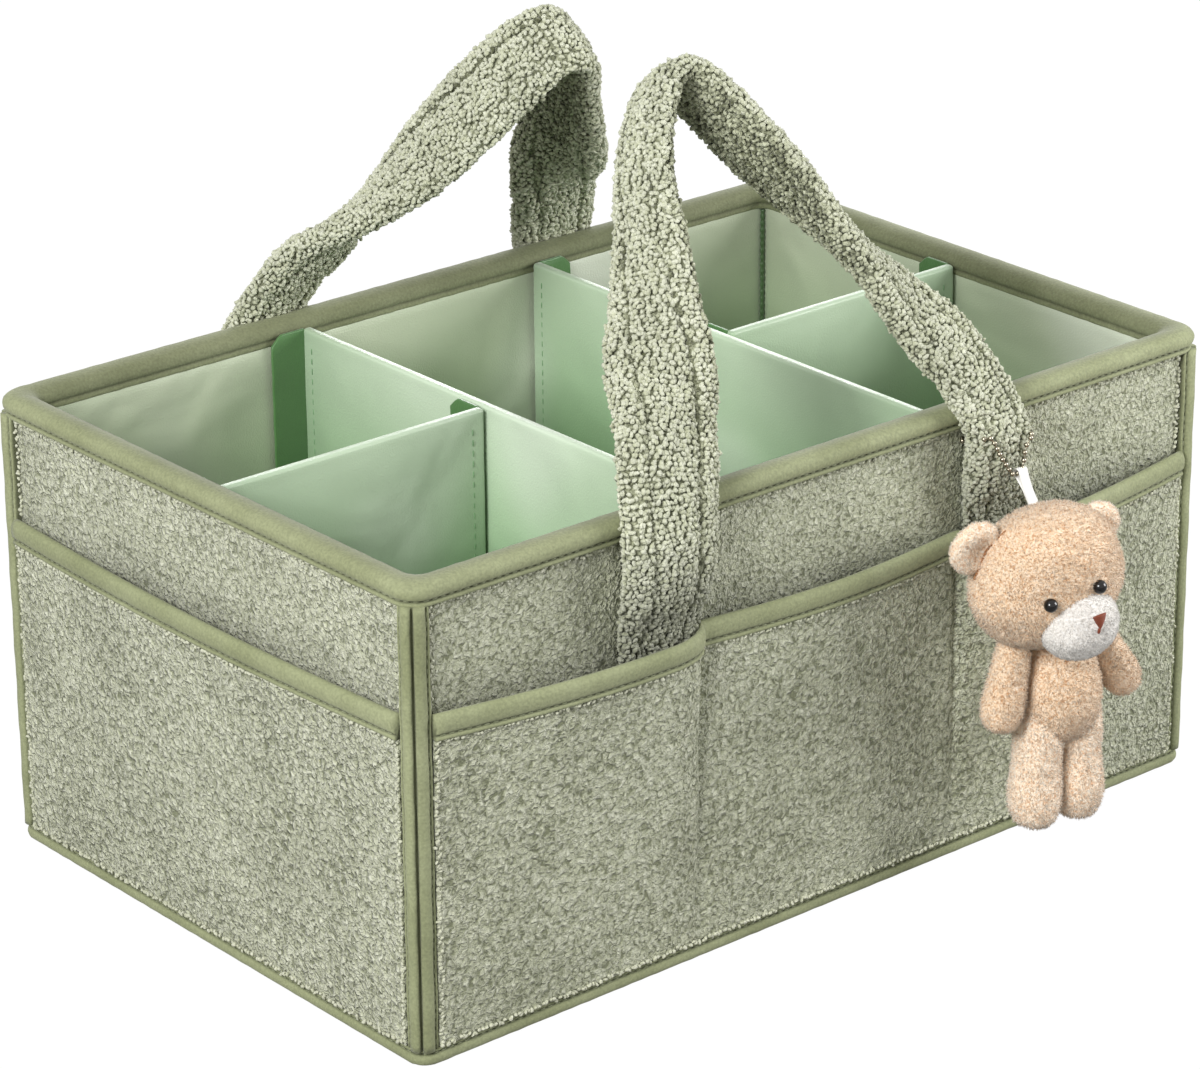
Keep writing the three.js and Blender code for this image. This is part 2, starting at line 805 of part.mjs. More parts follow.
const headShares = [[0, 0], [0.03, 0.36], [0.16, 0.76], [0.4, 0.97], [0.6, 1], [0.82, 0.8], [0.96, 0.4], [1, 0]];
const bodyShares = [[0, 0], [0.02, 0.44], [0.14, 0.66], [0.42, 0.9], [0.7, 1], [0.9, 0.84], [0.99, 0.46], [1, 0]];
const limbShares = [[0, 0], [0.03, 0.4], [0.16, 0.72], [0.45, 0.86], [0.76, 1], [0.93, 0.8], [0.99, 0.42], [1, 0]];
const roundShares = [[0, 0], [0.03, 0.34], [0.2, 0.8], [0.5, 1], [0.8, 0.8], [0.97, 0.34], [1, 0]];

function headForm(swell = 0) {
  const head = plushForm(headHeight, headWidth, headDepth, headShares, plushSides, plushRows, swell);
  head.translate(0, 0, headHeight / 2);
  return head;
}

// Turns what sits on the head with it, and carries it up from the neck
function seatOnHead(geometry) {
  geometry.rotateX(THREE.MathUtils.degToRad(headNod));
  geometry.rotateZ(THREE.MathUtils.degToRad(headTurn));
  geometry.translate(0, -headForward, headRise);
  geometry.rotateY(THREE.MathUtils.degToRad(headTilt));
  return geometry;
}

// Turns and shifts what hangs below the head with the body
function seatOnBody(geometry) {
  geometry.rotateZ(THREE.MathUtils.degToRad(bodyTurn));
  geometry.translate(bodySide, 0, 0);
  return geometry;
}

function bodyForm(swell = 0) {
  return seatOnBody(plushForm(bodyHeight, bodyWidth, bodyDepth, bodyShares, plushSides, limbRows, swell));
}

function legForm(side) {
  const leg = plushForm(legLength, legWidth, legWidth, limbShares, limbSides, limbRows);
  leg.rotateY(THREE.MathUtils.degToRad(-side * legSplay));
  leg.translate(side * legSpread, 0, -legTop);
  return seatOnBody(leg);
}

function armForm(side) {
  const arm = plushForm(armLength, armWidth, armWidth, limbShares, limbSides, limbRows);
  arm.rotateY(THREE.MathUtils.degToRad(side < 0 ? leftArmSplay : -rightArmSplay));
  arm.translate(side < 0 ? -leftArmSpread : rightArmSpread, 0, armRise);
  return seatOnBody(arm);
}

function earForm(side) {
  const earRise = side < 0 ? leftEarRise : rightEarRise;
  const ear = plushForm(earWidth, earWidth, earDepth, roundShares, limbSides, trimRows);
  ear.translate(side * earSpread, earSetBack, earRise + earWidth / 2);
  return seatOnHead(ear);
}

function muzzleForm(swell = 0) {
  const muzzle = plushForm(muzzleHeight, muzzleWidth, muzzleDepth, roundShares, plushSides, trimRows, swell);
  muzzle.translate(muzzleSide, muzzleSink - headDepth / 2, muzzleHeight / 2 - muzzleDrop);
  return seatOnHead(muzzle);
}

// Three-cornered nose, its point down, pressed on the muzzle
function noseForm() {
  const half = noseWidth / 2;
  const outline = [[-half, noseHeight / 2], [0, -noseHeight / 2], [half, noseHeight / 2]];
  const rounded = outline.flatMap(([x, z], k) => {
    const before = outline[(k + 2) % 3];
    const after = outline[(k + 1) % 3];
    const eased = (from, to) => from + (to - from) * noseRoundShare;
    return [before, after].map(([nextX, nextZ]) => new THREE.Vector2(eased(x, nextX), eased(z, nextZ)));
  });
  const nose = new THREE.ExtrudeGeometry(new THREE.Shape(rounded), { depth: muzzleDepth / 2, bevelEnabled: false });
  nose.rotateX(Math.PI / 2);
  const front = muzzleSink - headDepth / 2 - muzzleDepth / 2;
  nose.translate(muzzleSide + noseSide, front + muzzleDepth / 2 - noseThickness / 2, noseRise - muzzleDrop / 2);
  return seatOnHead(nose);
}

function eyeForms() {
  const eyes = [-1, 1].map((side) => {
    const eye = new THREE.SphereGeometry(eyeWidth / 2, trimSides, trimRows);
    const bow = Math.sqrt(1 - (2 * eyeSpread / headWidth) ** 2) * headDepth / 2;
    eye.translate(side * eyeSpread - eyeSide, -bow, eyeRise);
    return seatOnHead(eye);
  });
  return eyes;
}

// Point inside the head, behind its crown, where the ribbon is sewn in
function ribbonSeat() {
  const [right, behind, above] = ribbonSeatShares;
  const seat = new THREE.BufferGeometry().setFromPoints([
    new THREE.Vector3(right * headWidth / 2, behind * headDepth / 2, above * headHeight / 2),
  ]);
  seatOnHead(seat);
  return new THREE.Vector3().fromBufferAttribute(seat.getAttribute('position'), 0);
}

// Carries the bear from its own frame to where it hangs, its back against the pocket
function bearMatrix() {
  const seat = ribbonSeat();
  const pocketFront = halfWidth - tapeProud + layerGap + legPocketGape + pocketThickness + pocketTapeExtra;
  const hangY = headForward - headDepth / 2 - bearStandOff - pocketFront;
  const hangZ = chainLowHeight - ribbonDrop - seat.z;
  return new THREE.Matrix4().makeTranslation(bearHangX - seat.x, hangY, hangZ);
}

// Path of the ball chain, which cinches the front handle's right leg: from its lowest point up
// round one side, behind the leg and back down
function chainPath() {
  const leg = handles.front.legs.right;
  const clear = ballDiameter / 2 + chainClearance;
  const front = -(halfWidth - strapInset + strapThickness + clear);
  const back = -(halfWidth - tapeProud + clear);
  const middle = (front + back) / 2;
  const left = leg.place - leg.share * strapWidth / 2 - clear;
  const right = leg.place + leg.share * strapWidth / 2 + clear;
  const sides = [[right, chainRightHeight, bearHangX + ribbonWidth], [left, chainLeftHeight, bearHangX - ribbonWidth]];
  const [rightHalf, leftHalf] = sides.map(([edge, height, nearLow]) => {
    const inward = edge === right ? -clear : clear;
    return [
      new THREE.Vector3(nearLow, front, chainLowHeight),
      new THREE.Vector3((nearLow + edge) / 2, front, (chainLowHeight + height) / 2),
      new THREE.Vector3(edge + inward, front, height),
      new THREE.Vector3(edge, front + clear, height),
      new THREE.Vector3(edge, middle, (height + chainBackHeight) / 2),
      new THREE.Vector3(edge, back - clear, chainBackHeight),
      new THREE.Vector3(edge + inward, back, chainBackHeight),
    ];
  });
  const low = new THREE.Vector3(bearHangX, front, chainLowHeight);
  const behind = new THREE.Vector3(leg.place, back, chainBackHeight);
  const points = [low, ...rightHalf, behind, ...leftHalf.reverse()];
  return new THREE.CatmullRomCurve3(points, true, 'catmullrom', chainBendShare);
}

function ballChain() {
  const path = chainPath();
  const balls = Math.round(path.getLength() / ballPitch);
  const rings = [];
  for (let ball = 0; ball < balls; ball += 1) {
    ballBulgeShares.forEach((bulge, k) => {
      const share = (ball + ballStepShares[k]) / balls;
      const centre = path.getPointAt(share);
      const along = path.getTangentAt(share);
      const side = new THREE.Vector3(0, 0, 1).cross(along).normalize();
      const up = new THREE.Vector3().crossVectors(along, side);
      const ring = [];
      for (let corner = 0; corner < ballSides; corner += 1) {
        const angle = corner / ballSides * 2 * Math.PI;
        const radius = ballDiameter / 2 * bulge;
        const point = centre.clone();
        point.addScaledVector(side, radius * Math.cos(angle));
        point.addScaledVector(up, radius * Math.sin(angle));
        ring.push(point);
      }
      rings.push(ring);
    });
  }
  return loft(rings, true);
}

// Ribbon: a loop of tape over the chain, its two ends sewn into the back of the head.
// It is drawn hanging straight down and then turned towards its seat.
function ribbonLoop(seat) {
  const low = chainPath().getPointAt(0);
  const clear = ballDiameter / 2 + chainClearance;
  const outer = [];
  const inner = [];
  for (let k = 0; k <= trimRows; k += 1) {
    const angle = Math.PI * k / trimRows;
    const spoke = new THREE.Vector2(Math.cos(angle), Math.sin(angle));
    outer.push(spoke.clone().multiplyScalar(clear + ribbonThickness));
    inner.unshift(spoke.clone().multiplyScalar(clear));
  }
  const reach = seat.clone().sub(low);
  const length = Math.hypot(reach.y, reach.z);
  const tail = ribbonThickness + layerGap / 2;
  const outline = [
    ...outer,
    new THREE.Vector2(-tail, -length),
    new THREE.Vector2(ribbonThickness - tail, -length),
    ...inner,
    new THREE.Vector2(tail - ribbonThickness, -length),
    new THREE.Vector2(tail, -length),
  ];
  const ribbon = new THREE.ExtrudeGeometry(new THREE.Shape(outline), { depth: ribbonWidth, bevelEnabled: false });
  ribbon.translate(0, 0, -ribbonWidth / 2);
  const upright = new THREE.Matrix4().makeBasis(
    new THREE.Vector3(0, 1, 0),
    new THREE.Vector3(0, 0, 1),
    new THREE.Vector3(1, 0, 0),
  );
  ribbon.applyMatrix4(upright);
  ribbon.rotateX(Math.atan2(reach.y, -reach.z));
  return ribbon.translate(low.x, low.y, low.z);
}

function node(name, geometry, finish) {
  const mesh = new THREE.Mesh(geometry, new THREE.MeshStandardMaterial(finish));
  mesh.name = name;
  return mesh;
}

// The walls differ only in their length, the way they face and their pockets
const walls = [
  { name: 'front', turn: 0, halfSpan: halfLength, depth: halfWidth, long: true },
  { name: 'right', turn: 1, halfSpan: halfWidth, depth: halfLength, long: false },
  { name: 'back', turn: 2, halfSpan: halfLength, depth: halfWidth, long: true },
  { name: 'left', turn: 3, halfSpan: halfWidth, depth: halfLength, long: false },
];

function wallGroup(wall) {
  const group = new THREE.Group();
  const outward = new THREE.Vector3(0, -1, 0).applyAxisAngle(new THREE.Vector3(0, 0, 1), wall.turn * Math.PI / 2);
  group.position.copy(outward.multiplyScalar(wall.depth));
  group.rotation.z = wall.turn * Math.PI / 2;
  return group;
}

function buildWall(wall) {
  const group = wallGroup(wall);
  const fleeceSpan = wall.halfSpan - cornerTapeWidth - layerGap;
  const boardSpan = wall.halfSpan - (wall.long ? boardFront : boardBack + layerGap);
  const liningSpan = wall.halfSpan - (wall.long ? liningFront : liningBack + layerGap);
  const plan = pocketPlan(wall.halfSpan, wall.long);
  const board = uprightSlab(boardSpan, baseLiningBottom, wallTop, boardFront, boardBack);
  const lining = uprightSlab(liningSpan, baseLiningBottom, liningTop, liningFront, liningBack);
  group.add(node(`${wall.name}_fleece_panel`, fleeceSlab(fleeceSpan), fleeceFinish));
  group.add(node(`${wall.name}_board`, board, boardFinish));
  group.add(node(`${wall.name}_lining`, lining, liningFinish));
  group.add(node(`${wall.name}_pocket`, pocketPanel(plan), fleeceFinish));
  group.add(node(`${wall.name}_pocket_tape`, pocketTape(plan), tapeFinish));
  return group;
}

function buildCorners() {
  const group = new THREE.Group();
  const corners = { front_left: [-1, -1], front_right: [1, -1], back_right: [1, 1], back_left: [-1, 1] };
  for (const [name, [signX, signY]] of Object.entries(corners)) {
    group.add(node(`${name}_corner_tape`, cornerTape(signX, signY), tapeFinish));
  }
  return group;
}

function buildBase() {
  const group = new THREE.Group();
  const boardX = halfLength - boardFront;
  const boardY = halfWidth - boardFront;
  const liningX = halfLength - liningBack - layerGap;
  const liningY = halfWidth - liningBack - layerGap;
  const cover = flatSlab(boardX, boardY, 0, coverThickness, panelCornerRadius);
  const board = flatSlab(boardX, boardY, baseBoardBottom, boardThickness, panelCornerRadius);
  const lining = flatSlab(liningX, liningY, baseLiningBottom, liningThickness, panelCornerRadius);
  group.add(node('base_cover', cover, coverFinish));
  group.add(node('base_board', board, boardFinish));
  group.add(node('base_lining', lining, liningFinish));
  group.add(node('foot_tape', footTape(), tapeFinish));
  group.add(node('rim_tape', rimTape(), tapeFinish));
  return group;
}

function buildHandle(name) {
  const handle = handles[name];
  const group = new THREE.Group();
  group.rotation.z = handle.turn;
  for (const [side, leg] of Object.entries(handle.legs)) {
    const sewn = handleLeg(leg);
    sewn.translate(0, -halfWidth, 0);
    group.add(node(`${name}_handle_${side}_leg`, sewn, curlFinish));
  }
  const swing = new THREE.Group();
  swing.position.set(0, hingeInset - halfWidth, hingeHeight);
  swing.rotation.x = -THREE.MathUtils.degToRad(handle.lean);
  swing.add(node(`${name}_handle_sleeve`, handleSleeve(handle), curlFinish));
  swing.add(node(`${name}_handle_core`, handleCore(handle), coreFinish));
  group.add(swing);
  return group;
}

function buildDivider(name, reach, place, turn) {
  const group = new THREE.Group();
  group.position.copy(place);
  group.rotation.z = turn;
  group.add(node(`${name}_divider_cover`, dividerCover(reach), dividerFinish));
  group.add(node(`${name}_divider_board`, dividerBoard(reach), boardFinish));
  return group;
}

function buildDividers() {
  const group = new THREE.Group();
  const seat = hookThickness + layerGap;
  const crossReach = halfWidth - liningBack - seat;
  const webFace = crossDividerPlace + dividerThickness / 2;
  const longStart = webFace + seat;
  const longEnd = halfLength - liningBack - seat;
  const longReach = (longEnd - longStart) / 2;
  const longPlace = (longEnd + longStart) / 2;
  const quarter = Math.PI / 2;
  group.add(buildDivider('left_cross', crossReach, new THREE.Vector3(-crossDividerPlace, 0, 0), quarter));
  group.add(buildDivider('right_cross', crossReach, new THREE.Vector3(crossDividerPlace, 0, 0), -quarter));
  group.add(buildDivider('left_long', longReach, new THREE.Vector3(-longPlace, 0, 0), 0));
  group.add(buildDivider('right_long', longReach, new THREE.Vector3(longPlace, 0, 0), 0));
  return group;
}

function buildCharm() {
  const group = new THREE.Group();
  const hang = bearMatrix();
  const head = seatOnHead(headForm());
  const headSpace = () => seatOnHead(headForm(layerGap));
  const bodySpace = bodyForm(layerGap);
  const body = cut(bodyForm(), [headSpace()]);
  const limbs = { left_leg: legForm(-1), right_leg: legForm(1), left_arm: armForm(-1), right_arm: armForm(1) };
  const place = (name, geometry, finish) => {
    geometry.applyMatrix4(hang);
    group.add(node(name, geometry, finish));
  };
  place('bear_body', body, plushFinish);
  for (const [name, limb] of Object.entries(limbs)) {
    const side = name.startsWith('left') ? -1 : 1;
    const otherSide = new THREE.BoxGeometry(headWidth, headWidth, 2 * legLength);
    otherSide.translate(side * (layerGap - headWidth) / 2, 0, -legLength);
    place(`bear_${name}`, cut(limb, [bodySpace, headSpace(), seatOnBody(otherSide)]), plushFinish);
  }
  const muzzle = cut(muzzleForm(), [headSpace()]);
  const muzzleSpace = muzzleForm(layerGap);
  const nose = cut(noseForm(), [muzzleSpace, headSpace()]);
  const eyes = eyeForms().map((eye) => cut(eye, [headSpace(), muzzleSpace]));
  const ears = [earForm(-1), earForm(1)].map((ear) => cut(ear, [headSpace()]));
  place('bear_left_ear', ears[0], plushFinish);
  place('bear_right_ear', ears[1], plushFinish);
  place('bear_muzzle', muzzle, muzzleFinish);
  place('bear_nose', nose, noseFinish);
  place('bear_left_eye', eyes[0], eyeFinish);
  place('bear_right_eye', eyes[1], eyeFinish);
  const swayRoom = seatOnHead(headForm(ribbonEndGap)).applyMatrix4(hang);
  const ribbon = cut(ribbonLoop(ribbonSeat().applyMatrix4(hang)), [swayRoom]);
  place('bear_head', head, plushFinish);
  group.add(node('ribbon_loop', ribbon, ribbonFinish));
  group.add(node('ball_chain', ballChain(), chainFinish));
  return group;
}

const caddy = new THREE.Group();
caddy.add(buildBase());
walls.forEach((wall) => caddy.add(buildWall(wall)));
caddy.add(buildCorners());
caddy.add(buildDividers());
caddy.add(buildHandle('front'));
caddy.add(buildHandle('back'));
caddy.add(buildCharm());

export default caddy;
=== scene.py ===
# %% [markdown]
# # A fleece storage caddy with a plush bear charm
#
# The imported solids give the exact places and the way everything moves. This lesson dresses them:
# curly fleece on the outside, bound edges, a satin lining, satin dividers, two padded fleece
# handles and a small plush bear on a ball chain. Sizes of shapes are in millimetres and are turned
# into metres where a mesh is made. Those of lamps and finishes are in metres.

# %% Load the solids as a fixed frame
import math

import bpy
import numpy as np
from mathutils import Matrix, Vector


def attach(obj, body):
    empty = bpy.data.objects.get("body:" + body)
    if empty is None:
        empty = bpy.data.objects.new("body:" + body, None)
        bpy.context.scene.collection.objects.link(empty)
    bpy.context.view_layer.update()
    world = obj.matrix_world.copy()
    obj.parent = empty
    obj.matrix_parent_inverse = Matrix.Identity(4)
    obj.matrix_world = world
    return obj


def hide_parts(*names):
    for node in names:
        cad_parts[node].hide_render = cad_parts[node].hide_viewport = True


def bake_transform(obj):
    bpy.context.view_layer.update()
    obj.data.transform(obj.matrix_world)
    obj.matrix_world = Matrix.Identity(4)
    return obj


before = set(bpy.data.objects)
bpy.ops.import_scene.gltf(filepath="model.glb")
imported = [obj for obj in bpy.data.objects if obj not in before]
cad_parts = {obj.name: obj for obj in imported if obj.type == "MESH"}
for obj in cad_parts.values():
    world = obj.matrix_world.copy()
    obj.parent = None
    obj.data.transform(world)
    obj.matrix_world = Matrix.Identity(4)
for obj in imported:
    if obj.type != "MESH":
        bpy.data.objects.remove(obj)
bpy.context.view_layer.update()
MM = 0.001

# %% [markdown]
# ## Camera
#
# The camera stands in front of the left end and looks down at 22 degrees with a long lens, so
# that the upright edges stay almost parallel. Its place was worked out from the eight corners of
# the box in the photograph. The camera comes first, because it settles how much detail shows.

# %% Camera
camera_place = Vector((-1044.6, -1230.8, 778.2)) * MM
camera_target = Vector((22.9, 32.4, 93.2)) * MM
camera_roll = math.radians(-0.45)
focal_pixels, photo_pixels, sensor_width = 4624, 1200, 36
camera_data = bpy.data.cameras.new("studio_camera")
camera_data.sensor_width = sensor_width
camera_data.lens = focal_pixels / photo_pixels * sensor_width
camera = bpy.data.objects.new("studio_camera", camera_data)
bpy.context.scene.collection.objects.link(camera)
aim = (camera_target - camera_place).normalized()
right = aim.cross(Vector((0, 0, 1))).normalized()
up = right.cross(aim)
rolled_right = right * math.cos(camera_roll) + up * math.sin(camera_roll)
rolled_up = up * math.cos(camera_roll) - right * math.sin(camera_roll)
camera_axes = Matrix((rolled_right, rolled_up, -aim)).transposed().to_4x4()
camera.matrix_world = Matrix.Translation(camera_place) @ camera_axes
bpy.context.scene.camera = camera
print("camera lens", round(camera_data.lens, 1), "mm")

# %% [markdown]
# ## Light, floor and background
#
# The photograph is a cut-out on white. A broad light from the upper left makes the left end
# brighter than the long side and lights the inner faces that look left. A nearer light from the
# right front throws the straps' and the bear's shadows to the left along the pockets, and a third
# one behind the right end lights the far side of the straps. The world adds even light. White
# comes from what the camera sees, and not from more light on the caddy, so the fleece keeps its
# colour.

# %% Colours, written as in an image editor, and short names for nodes
def paint(code):
    """Linear colour of a six-letter code."""
    values = []
    for k in (0, 2, 4):
        value = int(code[k:k + 2], 16) / 255
        values.append(value / 12.92 if value <= 0.04045 else ((value + 0.055) / 1.055) ** 2.4)
    return (*values, 1.0)


def put(tree, kind, settings=None, inputs=None):
    """A new node with its settings and inputs, where an input may be another node's output."""
    made = tree.nodes.new(kind)
    for key, value in (settings or {}).items():
        setattr(made, key, value)
    for key, value in (inputs or {}).items():
        if isinstance(value, bpy.types.NodeSocket):
            tree.links.new(value, made.inputs[key])
        else:
            made.inputs[key].default_value = value
    return made


def maths(tree, operation, *values, clamp=False):
    """What a maths node makes of its values."""
    made = put(tree, "ShaderNodeMath", {"operation": operation, "use_clamp": clamp}, dict(enumerate(values)))
    return made.outputs[0]


def stretch(tree, value, low=0.0, high=1.0, to_low=0.0, to_high=1.0, smooth=False):
    """A value carried from one range to another."""
    ranges = {"From Min": low, "From Max": high, "To Min": to_low, "To Max": to_high}
    way = "SMOOTHSTEP" if smooth else "LINEAR"
    return put(tree, "ShaderNodeMapRange", {"interpolation_type": way}, {"Value": value, **ranges}).outputs[0]


def times(tree, vector, factor):
    """A place or a colour, scaled."""
    return put(tree, "ShaderNodeVectorMath", {"operation": "SCALE"}, {0: vector, "Scale": factor}).outputs[0]


def noise(tree, vector, scale, detail, output="Fac", **more):
    """Soft noise over a place."""
    inputs = {"Vector": vector, "Scale": scale, "Detail": detail, **more}
    return put(tree, "ShaderNodeTexNoise", None, inputs).outputs[output]


def between(tree, share, first, second):
    """A colour between two colours."""
    colours = {"Factor": share, 6: first, 7: second}
    return put(tree, "ShaderNodeMix", {"data_type": "RGBA"}, colours).outputs[2]


def carried_tone(tree, name):
    """A value that the mesh carries at each of its points."""
    return put(tree, "ShaderNodeAttribute", {"attribute_name": name}).outputs["Fac"]

# %% World and lamps
scene = bpy.context.scene
scene.view_settings.view_transform = "Standard"
world = bpy.data.worlds.new("studio_world")
scene.world = world
world.use_nodes = True
sky = world.node_tree
sky.nodes.clear()
rays = put(sky, "ShaderNodeLightPath").outputs
seen = maths(sky, "MAXIMUM", rays["Is Camera Ray"], rays["Is Glossy Ray"])
seen = maths(sky, "MAXIMUM", seen, rays["Is Transmission Ray"])
strength = stretch(sky, seen, to_low=0.42)
glow = put(sky, "ShaderNodeBackground", None, {"Color": (1, 1, 1, 1), "Strength": strength})
put(sky, "ShaderNodeOutputWorld", None, {"Surface": glow.outputs[0]})


def soft_lamp(name, place, size, power):
    """A square lamp that faces the caddy's middle."""
    data = bpy.data.lights.new(name, "AREA")
    data.shape = "SQUARE"
    data.size = size
    data.energy = power
    lamp = bpy.data.objects.new(name, data)
    scene.collection.objects.link(lamp)
    lamp.location = place
    aim_at = Vector((0, 0, 0.1)) - Vector(place)
    lamp.rotation_euler = aim_at.to_track_quat("-Z", "Y").to_euler()
    return lamp


lamps = [
    soft_lamp("key_lamp", (-1.65, -0.6, 1.2), 0.8, 40),
    soft_lamp("fill_lamp", (0.7, -0.6, 0.42), 0.4, 6.2),
    soft_lamp("back_lamp", (1.3, 1.5, 0.9), 0.8, 15),
]
print("lamps:", [lamp.name for lamp in lamps])

# %% Floor
bpy.ops.object.select_all(action="DESELECT")
bpy.ops.mesh.primitive_plane_add(size=8, location=(0, 0, 0))
floor = bpy.context.active_object
floor.name = "studio_floor"
floor_paint = bpy.data.materials.new("studio_floor")
floor_paint.use_nodes = True
tree = floor_paint.node_tree
tree.nodes.clear()
camera_ray = put(tree, "ShaderNodeLightPath").outputs["Is Camera Ray"]
matt = put(tree, "ShaderNodeBsdfDiffuse", None, {"Color": (0.35, 0.35, 0.35, 1)})
white = put(tree, "ShaderNodeEmission", None, {"Color": (1, 1, 1, 1), "Strength": 1.09})
share = maths(tree, "MULTIPLY", camera_ray, 0.9)
both = put(tree, "ShaderNodeMixShader", None, {"Fac": share, 1: matt.outputs[0], 2: white.outputs[0]})
put(tree, "ShaderNodeOutputMaterial", None, {"Surface": both.outputs[0]})
floor.data.materials.append(floor_paint)
print("floor ready")

# %% [markdown]
# ## Shared effects
#
# Fleece is a mass of small curls. Seen from close by each curl is a light tuft with a dark hollow
# beside it. A Voronoi pattern whose coordinates are pushed about by noise gives such tufts, and
# the same pattern feeds the bump and the colour, so that the hollows get painted shade. The effect
# is a node group, because panels, pockets and handles use it at different sizes. Other groups give
# a fine woven grain and soft satin creases.

# %% Helpers: node groups
def new_effect(name, per_metre, more=()):
    """A node group, its inputs, and its place scaled to so many units per metre."""
    group = bpy.data.node_groups.new(name, "ShaderNodeTree")
    for label, kind, value in (("Vector", "Vector", None), ("Per Metre", "Float", per_metre), *more):
        socket = group.interface.new_socket(label, in_out="INPUT", socket_type=f"NodeSocket{kind}")
        if value is not None:
            socket.default_value = value
    start = group.nodes.new("NodeGroupInput").outputs
    return group, start, times(group, start["Vector"], start["Per Metre"])


def give_out(group, values):
    """Ends a node group with its named values."""
    for label in values:
        group.interface.new_socket(label, in_out="OUTPUT", socket_type="NodeSocketFloat")
    put(group, "NodeGroupOutput", None, values)
    print("node group:", group.name)

# %% Node group: curls
curls, start, scaled = new_effect("curls", 400.0, [("Wander", "Float", 0.5)])
push = noise(curls, scaled, 0.8, 1.0, "Color")
centred = put(curls, "ShaderNodeVectorMath", {"operation": "SUBTRACT"}, {0: push, 1: (0.5, 0.5, 0.5)})
wandering = times(curls, centred.outputs[0], start["Wander"])
bent = put(curls, "ShaderNodeVectorMath", {"operation": "ADD"}, {0: scaled, 1: wandering}).outputs[0]
tuft_cells = put(curls, "ShaderNodeTexVoronoi", {"feature": "F1"}, {"Vector": bent, "Scale": 1.0}).outputs
dome = stretch(curls, tuft_cells["Distance"], 0.12, 0.95, 0.8, 0.25, smooth=True)
wisps = maths(curls, "MULTIPLY_ADD", noise(curls, bent, 1.25, 2.0, Roughness=0.6), 1.7, -0.85)
hollows = stretch(curls, noise(curls, bent, 0.55, 1.0), 0.3, 0.5, -0.22, 0.04, smooth=True)
tuft = maths(curls, "ADD", dome, hollows)
own_colour = put(curls, "ShaderNodeSeparateColor", None, {"Color": tuft_cells["Color"]})
give_out(curls, {
    "Height": maths(curls, "ADD", tuft, wisps, clamp=True),
    "Patch": noise(curls, scaled, 0.055, 3.0),
    "Tuft Tone": own_colour.outputs["Red"],
})

# %% Node group: fine woven grain
weave, start, scaled = new_effect("weave", 1400.0)
yarns = put(weave, "ShaderNodeTexVoronoi", {"feature": "F1"}, {"Vector": scaled, "Scale": 0.9})
give_out(weave, {
    "Height": maths(weave, "MULTIPLY_ADD", yarns.outputs["Distance"], -0.3, noise(weave, scaled, 0.8, 4.0)),
    "Shade": noise(weave, scaled, 0.03, 3.0),
})

# %% Node group: soft creases of satin
creases, start, scaled = new_effect("creases", 18.0)
folds = noise(creases, scaled, 1.0, 2.0, Distortion=0.5)
give_out(creases, {
    "Height": maths(creases, "MULTIPLY_ADD", noise(creases, scaled, 90.0, 2.0), 0.03, folds),
    "Sheen Patch": noise(creases, scaled, 0.6, 1.0),
})

# %% [markdown]
# ## Finishes
#
# Each finish mixes its colours by the effects' masks. The pile's hollows are painted darker and greener
# than its tips, as shade. The tape varies gently along its length and gets painted shade in its folds.
# The satin is smooth with a low roughness, with painted shade low down and painted pale highlights.
# The shader itself stays in the material.

# %% Helpers: parts of a finish
def blank(name):
    """A material without nodes, its tree, and a point's place on the object."""
    finish = bpy.data.materials.new(name)
    finish.use_nodes = True
    finish.node_tree.nodes.clear()
    place = put(finish.node_tree, "ShaderNodeTexCoord")
    return finish, finish.node_tree, place.outputs["Object"]


def effect(tree, group, place, per_metre, **more):
    """A shared effect, placed in a material with values of its own."""
    inputs = {"Vector": place, "Per Metre": per_metre, **more}
    return put(tree, "ShaderNodeGroup", {"node_tree": group}, inputs).outputs


def three_tones(tree, mask, dark, middle, light, stops=(0.0, 0.5, 1.0)):
    """The dark, middle and light tone of a mask that runs from 0 to 1."""
    ramp = put(tree, "ShaderNodeValToRGB", None, {"Fac": mask})
    tones = ramp.color_ramp.elements
    tones[0].position, tones[0].color = stops[0], paint(dark)
    tones[1].position, tones[1].color = stops[2], paint(light)
    tones.new(stops[1]).color = paint(middle)
    return ramp.outputs["Color"]


def coat(tree, tone, roughness, height, strength, distance, more):
    """Ends a material: one shader with its colour, its roughness and the relief of its height."""
    relief = put(tree, "ShaderNodeBump", None, {"Height": height, "Strength": strength, "Distance": distance})
    looks = {"Base Color": tone, "Roughness": roughness, "Normal": relief.outputs[0], **more}
    shader = put(tree, "ShaderNodeBsdfPrincipled", None, looks)
    put(tree, "ShaderNodeOutputMaterial", None, {"Surface": shader.outputs[0]})

